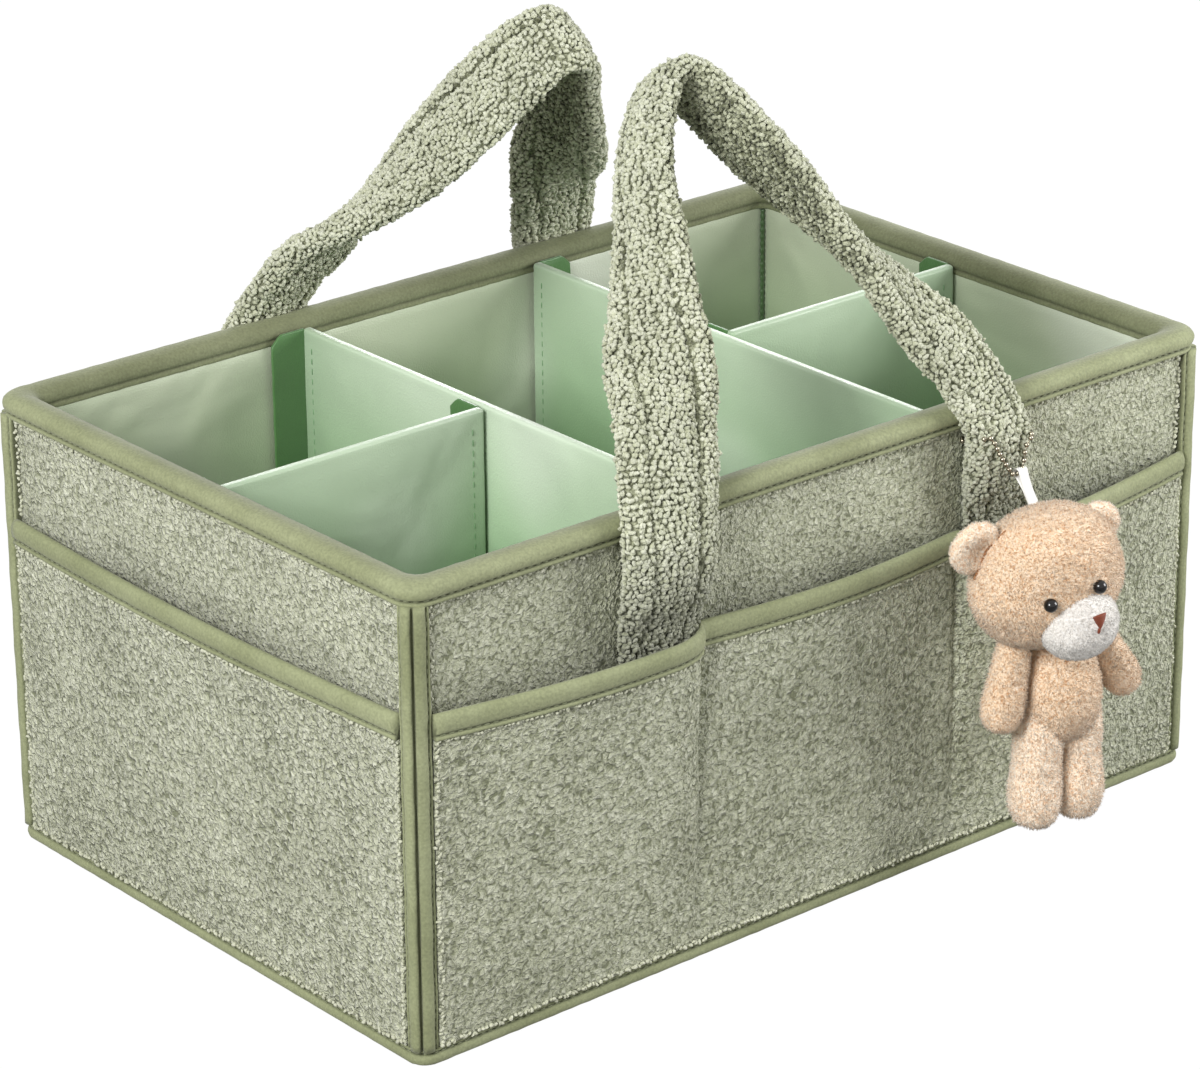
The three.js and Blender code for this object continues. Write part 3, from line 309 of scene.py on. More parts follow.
# %% Fleece finish
def fleece_finish(name, per_metre, tones, bump, wander=1.6, attribute=None, specks=1.0, mouth=None):
    """Curly pile. Where the curls are in the mesh, their shade comes from an attribute.

    With mouth=(low, high, shade) the pile gets painted shade down by a pocket's mouth: its colour falls from
    full at high to the share shade at low.
    """
    finish, tree, place = blank(name)
    pile = effect(tree, curls, place, per_metre, Wander=wander)
    mask = pile["Height"]
    if attribute:
        fine = maths(tree, "MULTIPLY_ADD", pile["Height"], 0.4, -0.2)
        mask = maths(tree, "ADD", carried_tone(tree, attribute), fine, clamp=True)
    rough_patch = stretch(tree, pile["Patch"], 0.36, 0.64, 0.3 * specks, 0.0)
    thinned = maths(tree, "SUBTRACT", mask, rough_patch, clamp=True)
    patch = stretch(tree, pile["Patch"], 0.3, 0.7, 0.93, 1.05)
    single = stretch(tree, pile["Tuft Tone"], to_low=0.93, to_high=1.06)
    # The ramp's dark tone is painted shade in the pile's hollows; the patches and single tufts vary at
    # random.
    varied = times(tree, three_tones(tree, thinned, *tones), maths(tree, "MULTIPLY", patch, single))
    # Painted shade at a pocket's mouth: the colour darkens towards the bottom.
    if mouth:
        low, high, shade = mouth
        level = put(tree, "ShaderNodeSeparateXYZ", None, {"Vector": place}).outputs["Z"]
        varied = times(tree, varied, stretch(tree, level, low, high, shade, smooth=True))
    coat(tree, varied, 0.95, pile["Height"], 1.0, bump,
         {"Sheen Weight": 0.2, "Sheen Roughness": 0.6, "Specular IOR Level": 0.1})
    return finish


# In each set the dark tone is painted shade in the pile's hollows, and the fourth value holds the ramp's
# stops.
pile_tones = ("7A7E61", "BCBFA3", "D6D8C2", (0.02, 0.46, 0.95))
edge_tones = ("9A9D82", "BEC0A6", "CFD0BB", (0.0, 0.4, 1.0))
strap_tones = ("62654B", "BFC2A5", "DADCC7", (0.0, 0.44, 1.0))
# The last values paint shade on the panels just above the pockets' mouths and on the handles' legs down in
# the pockets.
panel_fleece = fleece_finish("panel_fleece", 560.0, pile_tones, 0.0014, 1.9, None, 0.3, (0.124, 0.15, 0.66))
pocket_fleece = fleece_finish("pocket_fleece", 500.0, pile_tones, 0.0017, 1.9, None, 0.4)
edge_fleece = fleece_finish("edge_fleece", 900.0, edge_tones, 0.0003, 1.6, "curl_tone_and_shade", 0.3)
handle_fleece = fleece_finish("handle_fleece", 900.0, strap_tones, 0.0004, 1.6, "curl_tone_and_shade", 0.3,
                              (0.120, 0.186, 0.52))
print("fleece:", panel_fleece.name, handle_fleece.name)

# %% Tape, satin and cloth finishes
def tape_finish(name, dark, light, per_metre=1150.0, bump=0.00022):
    """Fine woven cloth, with painted shade where the mesh says that it lies in a fold."""
    finish, tree, place = blank(name)
    grain = effect(tree, weave, place, per_metre)
    tone = between(tree, stretch(tree, grain["Shade"], 0.3, 0.7), paint(dark), paint(light))
    speckle = stretch(tree, grain["Height"], 0.1, 0.6, 0.84, 1.14)
    # Painted shade: the tape is darker where the mesh says that it lies in a fold or groove.
    inside = maths(tree, "MULTIPLY_ADD", carried_tone(tree, "painted_fold_shade"), -0.62, 1.0)
    varied = times(tree, tone, maths(tree, "MULTIPLY", speckle, inside))
    coat(tree, varied, 0.72, grain["Height"], 0.8, bump, {"Sheen Weight": 0.12, "Specular IOR Level": 0.25})
    return finish


def satin_finish(name, low, high, glint, corner_shade_colour, bump, roughness=0.36):
    """Smooth satin with painted shade towards the floor and near the corners, and painted pale highlights in
    patches.
    """
    finish, tree, place = blank(name)
    cloth = effect(tree, creases, place, 16.0)
    waver = maths(tree, "MULTIPLY_ADD", cloth["Sheen Patch"], 0.06, -0.03)
    level = put(tree, "ShaderNodeSeparateXYZ", None, {"Vector": place}).outputs["Z"]
    # Painted shade: the satin darkens towards the floor.
    rise = stretch(tree, maths(tree, "ADD", level, waver), 0.07, 0.19, smooth=True)
    # Painted highlight: pale patches of sheen.
    shine = stretch(tree, cloth["Sheen Patch"], 0.5, 0.72, to_high=0.6, smooth=True)
    tone = between(tree, shine, between(tree, rise, paint(low), paint(high)), paint(glint))
    # Painted shade near the divider flanges and in the lining's corner seams, from the mesh.
    tone = between(tree, carried_tone(tree, "painted_corner_shade"), tone, paint(corner_shade_colour))
    gloss = stretch(tree, cloth["Height"], 0.3, 0.7, roughness - 0.05, roughness + 0.08)
    coat(tree, tone, gloss, cloth["Height"], 0.7, bump, {"Sheen Weight": 0.25, "Specular IOR Level": 0.5})
    return finish


binding = tape_finish("binding_tape", "868B67", "999E7A")
stitching = tape_finish("stitching", "7C8162", "8C9173", 2600.0, 0.0001)
satin_thread = tape_finish("satin_thread", "6F9A6C", "86AC81", 2600.0, 0.0001)
lining_satin = satin_finish("lining_satin", "8FAC7C", "C2C9B1", "E2E6DA", "48633C", 0.0085)
divider_satin = satin_finish("divider_satin", "83AD78", "C3D5BA", "E0EADA", "4C7541", 0.0065)
base_cloth = tape_finish("base_cloth", "959F80", "A0A98C", 900.0)
print("tape and satin finishes made")

# %% [markdown]
# ## Sheets of cloth
#
# The walls' fleece, the pockets and the lining are all cloth on a flat or gently bulging face. A
# grid is laid on the face by a small function that says where each point of the cloth goes, then
# Solidify gives it the cloth's thickness and Bevel eases its edges. One helper makes them all.

# %% Sizes shared by the pieces of the box, in millimetres
caddy_length, caddy_width, caddy_height = 380.0, 245.0, 180.0
half_length, half_width = caddy_length / 2, caddy_width / 2
layer_gap = 0.3
tape_proud = 2.2
fleece_thickness = 3.0
fleece_back = tape_proud + fleece_thickness
board_front = fleece_back + layer_gap
board_back = board_front + 3.0
lining_front = board_back + layer_gap
lining_thickness = 1.2
lining_back = lining_front + lining_thickness
corner_tape_width = 8.0
foot_tape_height = 6.0
fleece_bottom = foot_tape_height + layer_gap
wall_top = caddy_height - 6.0
lip_bottom = caddy_height - 7.5
base_top = 6.0

walls = {
    "front": {"turn": 0, "half_span": half_length, "depth": half_width, "pockets": 3},
    "right": {"turn": 1, "half_span": half_width, "depth": half_length, "pockets": 1},
    "back": {"turn": 2, "half_span": half_length, "depth": half_width, "pockets": 3},
    "left": {"turn": 3, "half_span": half_width, "depth": half_length, "pockets": 1},
}


def on_wall(wall, along, inset, height):
    """World points, in millimetres, from places along a wall, inwards from its face and up."""
    turn = wall["turn"] * math.pi / 2
    out = np.asarray(inset, float) - wall["depth"]
    along = np.asarray(along, float)
    x = math.cos(turn) * along - math.sin(turn) * out
    y = math.sin(turn) * along + math.cos(turn) * out
    return np.stack(np.broadcast_arrays(x, y, height), axis=-1)


# %% Helpers: selecting, joining, finishing
def only(obj):
    """Selects one object and nothing else."""
    bpy.ops.object.select_all(action="DESELECT")
    obj.select_set(True)
    bpy.context.view_layer.objects.active = obj


def joined(parts):
    """The first part, with the others joined to it."""
    only(parts[0])
    for part in parts[1:]:
        part.select_set(True)
    bpy.ops.object.join()
    return parts[0]


def smooth_coat(obj, finish):
    obj.data.materials.clear()
    obj.data.materials.append(finish)
    for polygon in obj.data.polygons:
        polygon.use_smooth = True


def dress(obj, finish, body, nodes=(), slot=None):
    """Gives a piece its finish, its body and the solids that it stands for."""
    smooth_coat(obj, finish)
    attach(obj, body)
    if nodes:
        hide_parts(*nodes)


def keep_tone(obj, name, values):
    """Stores a value at each point, for a finish to read by its name."""
    kept = obj.data.attributes.new(name, "FLOAT", "POINT")
    kept.data.foreach_set("value", np.broadcast_to(values, len(obj.data.vertices)).astype(np.float32))


# %% Helpers: meshes from points in millimetres
def points_of(obj):
    """The points of a mesh, as they are stored."""
    points = np.empty(len(obj.data.vertices) * 3, np.float32)
    obj.data.vertices.foreach_get("co", points)
    return points.reshape(-1, 3).astype(float)


def set_points(obj, points):
    obj.data.vertices.foreach_set("co", np.asarray(points, np.float32).ravel())
    obj.data.update()


def linked(name, mesh):
    obj = bpy.data.objects.new(name, mesh)
    scene.collection.objects.link(obj)
    return obj


def mesh_of(name, points, faces):
    """A mesh of points and faces."""
    mesh = bpy.data.meshes.new(name)
    mesh.from_pydata([tuple(p) for p in points * MM], [], faces)
    return linked(name, mesh)


def closed_mesh(name, points, faces):
    """A mesh of points and faces that closes on itself, with its faces turned outwards."""
    obj = mesh_of(name, points, faces)
    only(obj)
    bpy.ops.object.mode_set(mode="EDIT")
    bpy.ops.mesh.select_all(action="SELECT")
    bpy.ops.mesh.normals_make_consistent(inside=False)
    bpy.ops.object.mode_set(mode="OBJECT")
    return obj


def many_triangles(name, points, faces):
    """A mesh of a great many triangles, written in one go."""
    mesh = bpy.data.meshes.new(name)
    mesh.vertices.add(len(points))
    mesh.vertices.foreach_set("co", (points * MM).astype(np.float32).ravel())
    mesh.loops.add(len(faces) * 3)
    mesh.loops.foreach_set("vertex_index", faces.astype(np.int32).ravel())
    mesh.polygons.add(len(faces))
    mesh.polygons.foreach_set("loop_start", np.arange(len(faces), dtype=np.int32) * 3)
    mesh.update(calc_edges=True)
    return linked(name, mesh)


def round_form(add, **detail):
    """Points and faces of one of the built-in round forms, with a radius of 1."""
    bpy.ops.object.select_all(action="DESELECT")
    add(radius=1.0, **detail)
    form = bpy.context.active_object
    points = points_of(form)
    faces = [tuple(p.vertices) for p in form.data.polygons]
    bpy.data.objects.remove(form)
    return points, faces


def cloth_sheet(name, columns, rows, lay, thickness, edge=0.4, segments=2, offset=-1):
    """A grid laid by lay(u, v), with u and v from 0 to 1, then given its thickness and eased edges.

    An offset of -1 thickens inwards, and 0 thickens to both sides alike.
    """
    bpy.ops.object.select_all(action="DESELECT")
    bpy.ops.mesh.primitive_grid_add(x_subdivisions=columns, y_subdivisions=rows, size=1)
    sheet = bpy.context.active_object
    sheet.name = name
    flat = points_of(sheet)
    set_points(sheet, lay(flat[:, 0] + 0.5, flat[:, 1] + 0.5) * MM)
    body = sheet.modifiers.new("thickness", "SOLIDIFY")
    body.thickness = thickness * MM
    body.offset = offset
    eased = sheet.modifiers.new("eased_edge", "BEVEL")
    eased.width = edge * MM
    eased.segments = segments
    eased.limit_method = "ANGLE"
    eased.angle_limit = math.radians(60)
    only(sheet)
    for modifier in (body, eased):
        bpy.ops.object.modifier_apply(modifier=modifier.name)
    return sheet


# %% Helpers: lines and soft shapes
def run_of(points):
    """How far along a line each of its points is."""
    return np.concatenate([[0], np.cumsum(np.linalg.norm(np.diff(points, axis=0), axis=1))])


def smooth_step(a, b, slope_a, slope_b, t):
    """A point between two points, on the curve that leaves and meets them with given slopes."""
    return (
        (2 * t ** 3 - 3 * t ** 2 + 1) * a + (t ** 3 - 2 * t ** 2 + t) * slope_a
        + (3 * t ** 2 - 2 * t ** 3) * b + (t ** 3 - t ** 2) * slope_b
    )


def lumps(points, size, seed=0.0):
    """Smooth value from -1 to 1 over space, made of a few slanted waves."""
    total = np.zeros(len(points))
    for k in range(5):
        angle = 1.7 * k + seed
        direction = np.array([math.cos(angle), math.sin(1.3 * angle), math.sin(angle + 0.6)])
        total += np.sin(points @ direction * (2 * math.pi / size) * (0.7 + 0.23 * k) + 2.1 * k + seed)
    return total / 5


# %% [markdown]
# ## Fleece panels
#
# Each wall is covered with curly fleece from the foot tape to the rim. The pile is a few
# millimetres high, so the face is never quite flat: it swells a little between the tapes.

# %% Fleece panels
for wall_name, wall in walls.items():
    reach = wall["half_span"] - corner_tape_width - layer_gap

    def lay_panel(u, v, wall=wall, reach=reach):
        along = (2 * u - 1) * reach
        height = fleece_bottom + (wall_top - fleece_bottom) * v
        near_edge = np.minimum(1, np.minimum(u, 1 - u) * 2 * reach / 6) ** 0.5
        flat = on_wall(wall, along, 0, height)
        swell = 0.5 * near_edge + 0.3 * lumps(flat, 60, wall["turn"])
        swell += 0.18 * lumps(flat, 17, 2 + wall["turn"])
        return on_wall(wall, along, tape_proud - swell + 0.3, height)

    panel = cloth_sheet(f"{wall_name}_fleece", int(2 * reach / 3), 56, lay_panel, fleece_thickness)
    dress(panel, panel_fleece, "caddy", [f"{wall_name}_fleece_panel"], "fleece")
    print(panel.name, len(panel.data.polygons), "faces")

# %% [markdown]
# ## Slip pockets
#
# A strip of the same fleece is sewn on each wall at its ends and foot, and its bound top edge
# stands away from the wall. On the long sides two more seams make three pockets, and the outer
# two gape most, because the handles' ends are inside them. The gape grows from the foot to the
# mouth and falls to nothing at each seam. It is a little less than that of the solids, because
# the photograph's mouths are nearly straight.

# %% Shape of a pocket
pocket_top, pocket_sag = 132.0, 0.6
pocket_tape_height, pocket_tape_cover, pocket_thickness = 9.0, 8.0, 2.4
pocket_seam, pocket_leg_place = 63.3, 83.0
leg_gape, middle_gape, end_gape = 10.6, 4.8, 3.4


def pocket_plan(wall):
    """Where a wall's pocket seams are, how far each mouth gapes, and where it gapes most."""
    end = wall["half_span"] - corner_tape_width - layer_gap
    if wall["pockets"] == 1:
        return [-end, end], [end_gape], [0.0]
    seams = [-end, -pocket_seam, pocket_seam, end]
    return seams, [leg_gape, middle_gape, leg_gape], [-pocket_leg_place, 0.0, pocket_leg_place]


def mouth_gape(wall, along):
    """How far the pocket's mouth stands off the wall at places along it."""
    seams, gapes, peaks = pocket_plan(wall)
    gape = np.zeros_like(along)
    for low, high, most, peak in zip(seams[:-1], seams[1:], gapes, peaks):
        inside = (along >= low) & (along <= high)
        before = along < peak
        run = np.where(before, (along - low) / (peak - low), (high - along) / (high - peak))
        swell = np.sin(np.clip(run, 0, 1) * math.pi / 2)
        short = np.where(before, peak - low < high - peak, high - peak < peak - low)
        gape = np.where(inside, most * np.where(short, swell ** 0.5, swell), gape)
    return gape


def mouth_height(wall, along):
    """Height of the mouth, which sags a little between the seams."""
    seams = pocket_plan(wall)[0]
    height = np.full_like(along, pocket_top)
    for low, high in zip(seams[:-1], seams[1:]):
        inside = (along >= low) & (along <= high)
        share = np.clip((along - low) / (high - low), 0, 1)
        height = np.where(inside, pocket_top - pocket_sag * np.sin(share * math.pi), height)
    return height


def pocket_face(wall, along, height):
    """Inset of the pocket's inner face, which is negative where it stands proud of the tapes."""
    rise = np.clip((height - fleece_bottom) / (pocket_top - fleece_bottom), 0, None)
    return tape_proud - layer_gap - mouth_gape(wall, along) * rise ** 1.2


# %% Pocket cloth
for wall_name, wall in walls.items():
    reach = pocket_plan(wall)[0][-1]

    def lay_pocket(u, v, wall=wall, reach=reach):
        along = (2 * u - 1) * reach
        top = mouth_height(wall, along) - pocket_tape_height + 2
        height = fleece_bottom + (top - fleece_bottom) * v
        face = pocket_face(wall, along, height) - pocket_thickness
        flat = on_wall(wall, along, 0, height)
        edge = np.clip(np.minimum(1 - np.abs(2 * u - 1), v) * 30, 0, 1)
        soft = (0.4 * lumps(flat, 48, 3 + wall["turn"]) + 0.2 * lumps(flat, 15, 4 + wall["turn"])) * edge
        for seam in pocket_plan(wall)[0][1:-1]:
            soft = soft - 1.2 * np.exp(-((along - seam) / 2.2) ** 2)
        return on_wall(wall, along, face - soft, height)

    pocket = cloth_sheet(f"{wall_name}_pocket_fleece", int(2 * reach / 2.2), 54, lay_pocket, pocket_thickness)
    dress(pocket, pocket_fleece, "caddy", [f"{wall_name}_pocket"], "fleece")
    print(pocket.name, len(pocket.data.polygons), "faces")

# %% [markdown]
# ## Bound edges
#
# All raw edges are wrapped in a narrow smooth tape. A tape is a section that is carried along a
# line, so a helper joins section after section into one closed tube of faces. A slight ripple
# along its length and a dent where the thread pulls it in keep it from looking like plastic.

# %% Helper: carry sections along a line
def carried(name, rings, closed=False, tones=None):
    """A mesh from rings of points, in millimetres. An open run has a face at each end.

    Tones are painted shade, from 0 to 1, at each point of a ring; the tape's finish darkens its folds by
    them.
    """
    count, around = len(rings), len(rings[0])
    faces = []
    for k in range(count if closed else count - 1):
        here, there = k * around, (k + 1) % count * around
        for j in range(around):
            nxt = (j + 1) % around
            faces.append((here + j, here + nxt, there + nxt, there + j))
    if not closed:
        faces.append(tuple(reversed(range(around))))
        faces.append(tuple((count - 1) * around + j for j in range(around)))
    obj = closed_mesh(name, np.concatenate(rings), faces)
    if tones is not None:
        keep_tone(obj, "painted_fold_shade", np.tile(tones, count))
    return obj


def round_rectangle(half_x, half_y, radius, spacing, inset=0.0):
    """Points round a rectangle with rounded corners, and their outward normals.

    The number of points does not depend on the inset, so lines at several insets can be joined.
    """
    inner = max(radius - 0.38 * inset, 0.5)
    corners = [(1, 1), (-1, 1), (-1, -1), (1, -1)]
    steps = 8
    runs = [int(2 * (half - radius) / spacing) for half in (half_x, half_y, half_x, half_y)]
    points, normals = [], []
    for corner, (sign_x, sign_y) in enumerate(corners):
        centre = np.array([sign_x * (half_x - inset - inner), sign_y * (half_y - inset - inner)])
        for k in range(steps + 1):
            angle = (corner + k / steps) * math.pi / 2
            normals.append(np.array([math.cos(angle), math.sin(angle)]))
            points.append(centre + inner * normals[-1])
        next_x, next_y = corners[(corner + 1) % 4]
        following = np.array([next_x * (half_x - inset - inner), next_y * (half_y - inset - inner)])
        last, following = points[-1], following + inner * normals[-1]
        for k in range(1, runs[corner]):
            points.append(last + (following - last) * k / runs[corner])
            normals.append(normals[-1])
    return np.array(points), np.array(normals)


# %% Helpers: tapes round the box
def tape_round(name, section, radius, ripple, spacing=4.0):
    """A tape all round the box. Section points are insets, heights and painted shade in the folds."""
    lines = [round_rectangle(half_length, half_width, radius, spacing, inset)[0] for inset in section[:, 0]]
    middle = section[:, :2].mean(axis=0)
    normals = round_rectangle(half_length, half_width, radius, spacing)[1]
    rings = []
    for k in range(len(lines[0])):
        wave = ripple * (math.sin(k * 1.9) * math.sin(k * 0.37) + 0.6 * math.sin(k * 3.1))
        ring = []
        for line, (inset, height) in zip(lines, section[:, :2]):
            out = wave * (middle[0] - inset)
            ring.append([*(line[k] + normals[k] * out), height + wave * (height - middle[1])])
        rings.append(np.array(ring))
    return carried(name, rings, True, section[:, 2])


def smooth_section(corners, rounding=3):
    """A closed section with its corners cut round, by Chaikin's rule."""
    section = np.array(corners, float)
    for _ in range(rounding):
        following = np.roll(section, -1, axis=0)
        pairs = np.stack([section * 0.75 + following * 0.25, section * 0.25 + following * 0.75], 1)
        section = pairs.reshape(-1, section.shape[1])
    return section

# %% Rim and foot tapes
# Each section point is an inset, a height and its painted shade, which darkens the grooves, the seam lines
# and the rim's inner side. The other tapes' sections are written the same way.
rim_section = smooth_section([(inset, lip_bottom + rise, tone) for inset, rise, tone in (
    (1.6, 0.0, 1), (1.2, -0.9, 0.6), (0.3, -1.0, 0.2), (-0.25, -0.5, 0), (-0.3, 0.5, 0), (0.6, 1.0, 1),
    (0.6, 1.35, 1), (-0.55, 1.9, 0), (-1.1, 3.1, 0), (-1.2, 4.7, 0), (-0.7, 6.2, 0), (0.8, 7.5, 0),
    (2.9, 8.1, 0.2), (4.9, 8.1, 0.32), (6.8, 7.7, 0.42), (8.7, 6.8, 0.5), (9.9, 5.4, 0.55), (10.4, 3.8, 0.55),
    (10.35, 2.4, 0.6), (9.9, 1.7, 1), (10.3, 0.9, 0.5), (10.3, -0.6, 0.2), (9.4, -0.8, 0.5), (8.9, 0.3, 1),
    (8.6, 1.8, 1), (2.0, 1.8, 1),
)], 1)
rim = tape_round("rim_binding", rim_section, 9.0, 0.012)
dress(rim, binding, "caddy", ["rim_tape"], "tape")
foot_section = smooth_section([
    (5.2, 0.0, 0.5), (1.2, 0.0, 0.3), (0.1, 0.4, 0), (-0.6, 1.5, 0), (-0.65, 3.0, 0), (-0.2, 4.2, 0),
    (0.55, 4.6, 1), (0.55, 4.95, 1), (-0.1, 5.4, 0), (0.1, 6.1, 0.2), (0.9, 6.4, 1), (2.2, 6.2, 1),
    (5.2, 6.0, 1),
], 1)
foot = tape_round("foot_binding", foot_section, 7.0, 0.02)
dress(foot, binding, "caddy", ["foot_tape"], "tape")
print(rim.name, len(rim.data.polygons), foot.name, len(foot.data.polygons))

# %% Corner tapes
corner_half = [
    (8.0, fleece_back, 0), (8.1, 1.6, 1), (8.1, 0.6, 0.6), (7.7, 0.1, 0), (7.1, 0.1, 0), (6.8, 0.6, 1),
    (6.45, 0.55, 1), (6.0, -0.2, 0), (5.2, -0.7, 0), (4.0, -0.85, 0), (2.8, -0.6, 0), (1.8, 0.0, 0.1),
    (1.45, 0.75, 0.4), (2.1, 1.5, 0.7),
]
mirrored_half = [(b, a, tone) for a, b, tone in reversed(corner_half)]
corner_outline = [(fleece_back, fleece_back, 0)] + corner_half + [(2.5, 2.5, 0.75)] + mirrored_half
corner_section = smooth_section(corner_outline, 1)
corner_signs = {"front_left": (-1, -1), "front_right": (1, -1), "back_right": (1, 1), "back_left": (-1, 1)}
for corner_name, (sign_x, sign_y) in corner_signs.items():
    rings = []
    for height in np.linspace(fleece_bottom - 0.4, lip_bottom - 0.2, 60):
        wave = 0.12 * math.sin(height * 0.23 + sign_x) + 0.06 * math.sin(height * 0.61 + sign_y)
        inset = corner_section[:, :2] + wave * (corner_section[:, :2] < 1.0)
        x = sign_x * (half_length - inset[:, 0])
        y = sign_y * (half_width - inset[:, 1])
        rings.append(np.stack([x, y, np.full(len(x), height)], axis=1))
    tape = carried(f"{corner_name}_corner_binding", rings, False, corner_section[:, 2])
    dress(tape, binding, "caddy", [f"{corner_name}_corner_tape"], "tape")
print("corner tapes:", len(corner_signs))

# %% Pocket tapes
for wall_name, wall in walls.items():
    reach = pocket_plan(wall)[0][-1]
    section = smooth_section([
        (0.2, 0.0, 1), (0.0, 0.8, 1), (0.0, 8.0, 0.5), (0.6, 8.9, 0.1), (1.8, 9.3, 0), (3.0, 9.0, 0),
        (3.95, 7.9, 0), (4.4, 6.2, 0), (4.3, 4.2, 0), (3.9, 2.5, 0), (3.05, 1.85, 1), (3.05, 1.5, 1),
        (3.7, 1.0, 0), (3.75, 0.2, 0), (3.4, -0.4, 0.4), (2.7, -0.4, 1),
    ], 1)
    rings = []
    stops = np.unique(np.concatenate([np.linspace(-reach, reach, int(2 * reach / 3)), pocket_plan(wall)[0]]))
    top = mouth_height(wall, stops)
    low = pocket_face(wall, stops, top - pocket_tape_height)
    high = pocket_face(wall, stops, top)
    for k, along in enumerate(stops):
        wave = 0.1 * math.sin(k * 1.7) * math.sin(k * 0.31)
        out = section[:, 0] * (1 + wave * 0.3)
        rise = section[:, 1]
        inset = low[k] + (high[k] - low[k]) * rise / pocket_tape_height - out
        height = top[k] - pocket_tape_height + rise
        rings.append(on_wall(wall, along, inset, height))
    tape = carried(f"{wall_name}_pocket_binding", rings, False, section[:, 2])
    dress(tape, binding, "caddy", [f"{wall_name}_pocket_tape"], "tape")
    print(tape.name, len(tape.data.polygons), "faces")

# %% [markdown]
# ## Satin lining
#
# The inside is lined with thin satin. It is held at the rim and at the floor and hangs a little
# loose between them, so it has long soft folds that catch the light.

# %% Lining
lining_bottom, lining_top = 4.8, lip_bottom - 0.3
floor_half_length = half_length - lining_back - layer_gap
floor_half_width = half_width - lining_back - layer_gap
for wall_name, wall in walls.items():
    inner = wall["half_span"] - (lining_front if wall["pockets"] == 3 else lining_back + layer_gap)

    def lay_lining(u, v, wall=wall, inner=inner):
        along = (1 - 2 * u) * inner
        height = lining_bottom + (lining_top - lining_bottom) * v
        flat = on_wall(wall, along, 0, height)
        loose = np.sin(np.clip(v, 0, 1) * math.pi) * np.clip(np.minimum(u, 1 - u) * 8, 0, 1)
        fold = 0.5 + 0.5 * lumps(flat, 90, 5 + wall["turn"])
        return on_wall(wall, along, lining_back + 0.25 * loose * fold, height)

    lining = cloth_sheet(f"{wall_name}_satin_lining", int(2 * inner / 4), 42, lay_lining, lining_thickness)
    dress(lining, lining_satin, "caddy", [f"{wall_name}_lining"], "lining")

# %% Corner seams of the lining
# The linings meet in puckered seams in the four inner corners.
seam_place = lining_back + layer_gap + 0.9
corner_seams = []
for sign_x in (-1, 1):
    for sign_y in (-1, 1):
        rings = []
        for height in np.arange(base_top + 0.4, lip_bottom - 0.5, 0.8):
            near = np.array([[sign_x * 50, sign_y * 50, height]])
            pucker = 1.0 + 0.22 * math.sin(height * 2.1) + 0.1 * lumps(near, 13)[0]
            turns = np.linspace(0, 2 * math.pi, 8, endpoint=False)
            x = sign_x * (half_length - seam_place) + pucker * np.cos(turns)
            y = sign_y * (half_width - seam_place) + pucker * np.sin(turns)
            rings.append(np.stack([x, y, np.full(8, height)], axis=1))
        corner_seams.append(carried("lining_corner_seams", rings))
seams = joined(corner_seams)
# Painted shade: the corner seams take the satin's darkest tone.
keep_tone(seams, "painted_corner_shade", 1.0)
dress(seams, lining_satin, "caddy", (), "lining")

# %% Lining and cloth of the base
def lay_base(u, v):
    x = (2 * u - 1) * floor_half_length
    y = (2 * v - 1) * floor_half_width
    flat = np.stack([x, y, np.zeros_like(x)], axis=1)
    return np.stack([x, y, base_top + 0.12 * lumps(flat, 70, 1.0)], axis=1)


def lay_underside(u, v):
    x = (1 - 2 * u) * (half_length - board_front)
    y = (2 * v - 1) * (half_width - board_front)
    return np.stack([x, y, np.zeros_like(x)], axis=1)


base_lining = cloth_sheet("base_satin", 90, 56, lay_base, lining_thickness)
dress(base_lining, lining_satin, "caddy", ["base_lining"], "lining")
underside = cloth_sheet("base_underside_cloth", 40, 26, lay_underside, 1.2)
dress(underside, base_cloth, "caddy", ["base_cover"], "base_cloth")
print("lining ready")

# %% [markdown]
# ## Dividers
#
# Four padded satin boards stand in the caddy. Each has a flange at either end, turned to one side
# and sewn down, whose hook tape grips the lining. The board is a closed soft slab: two faces that
# crown a little and a rounded edge all round, and each flange is a thinner slab.

# %% Sizes and places of the dividers
divider_top, divider_bottom = 176.5, 6.3
divider_thickness, flange_width, flange_thickness, flange_slope = 4.0, 15.0, 1.4, 4
cross_place = 57.0
hook_tape = 1.2
seat = hook_tape + layer_gap
cross_reach = half_width - lining_back - seat
long_start = cross_place + divider_thickness / 2 + seat
long_end = half_length - lining_back - seat
long_reach, long_place = (long_end - long_start) / 2, (long_end + long_start) / 2
dividers = {
    "left_cross": (cross_reach, (-cross_place, 0.0), math.pi / 2),
    "right_cross": (cross_reach, (cross_place, 0.0), -math.pi / 2),
    "left_long": (long_reach, (-long_place, 0.0), 0.0),
    "right_long": (long_reach, (long_place, 0.0), 0.0),
}

# %% Helpers: the parts of a divider
def divider_ways(place, turn):
    """Two functions: from places on a divider into the caddy, and back along and through it."""
    cos, sin = math.cos(turn), math.sin(turn)

    def into_caddy(x, y, z):
        return np.stack([place[0] + cos * x - sin * y, place[1] + sin * x + cos * y, z], axis=1)

    def onto_divider(points):
        x, y = points[:, 0] - place[0], points[:, 1] - place[1]
        return cos * x + sin * y, -sin * x + cos * y

    return into_caddy, onto_divider


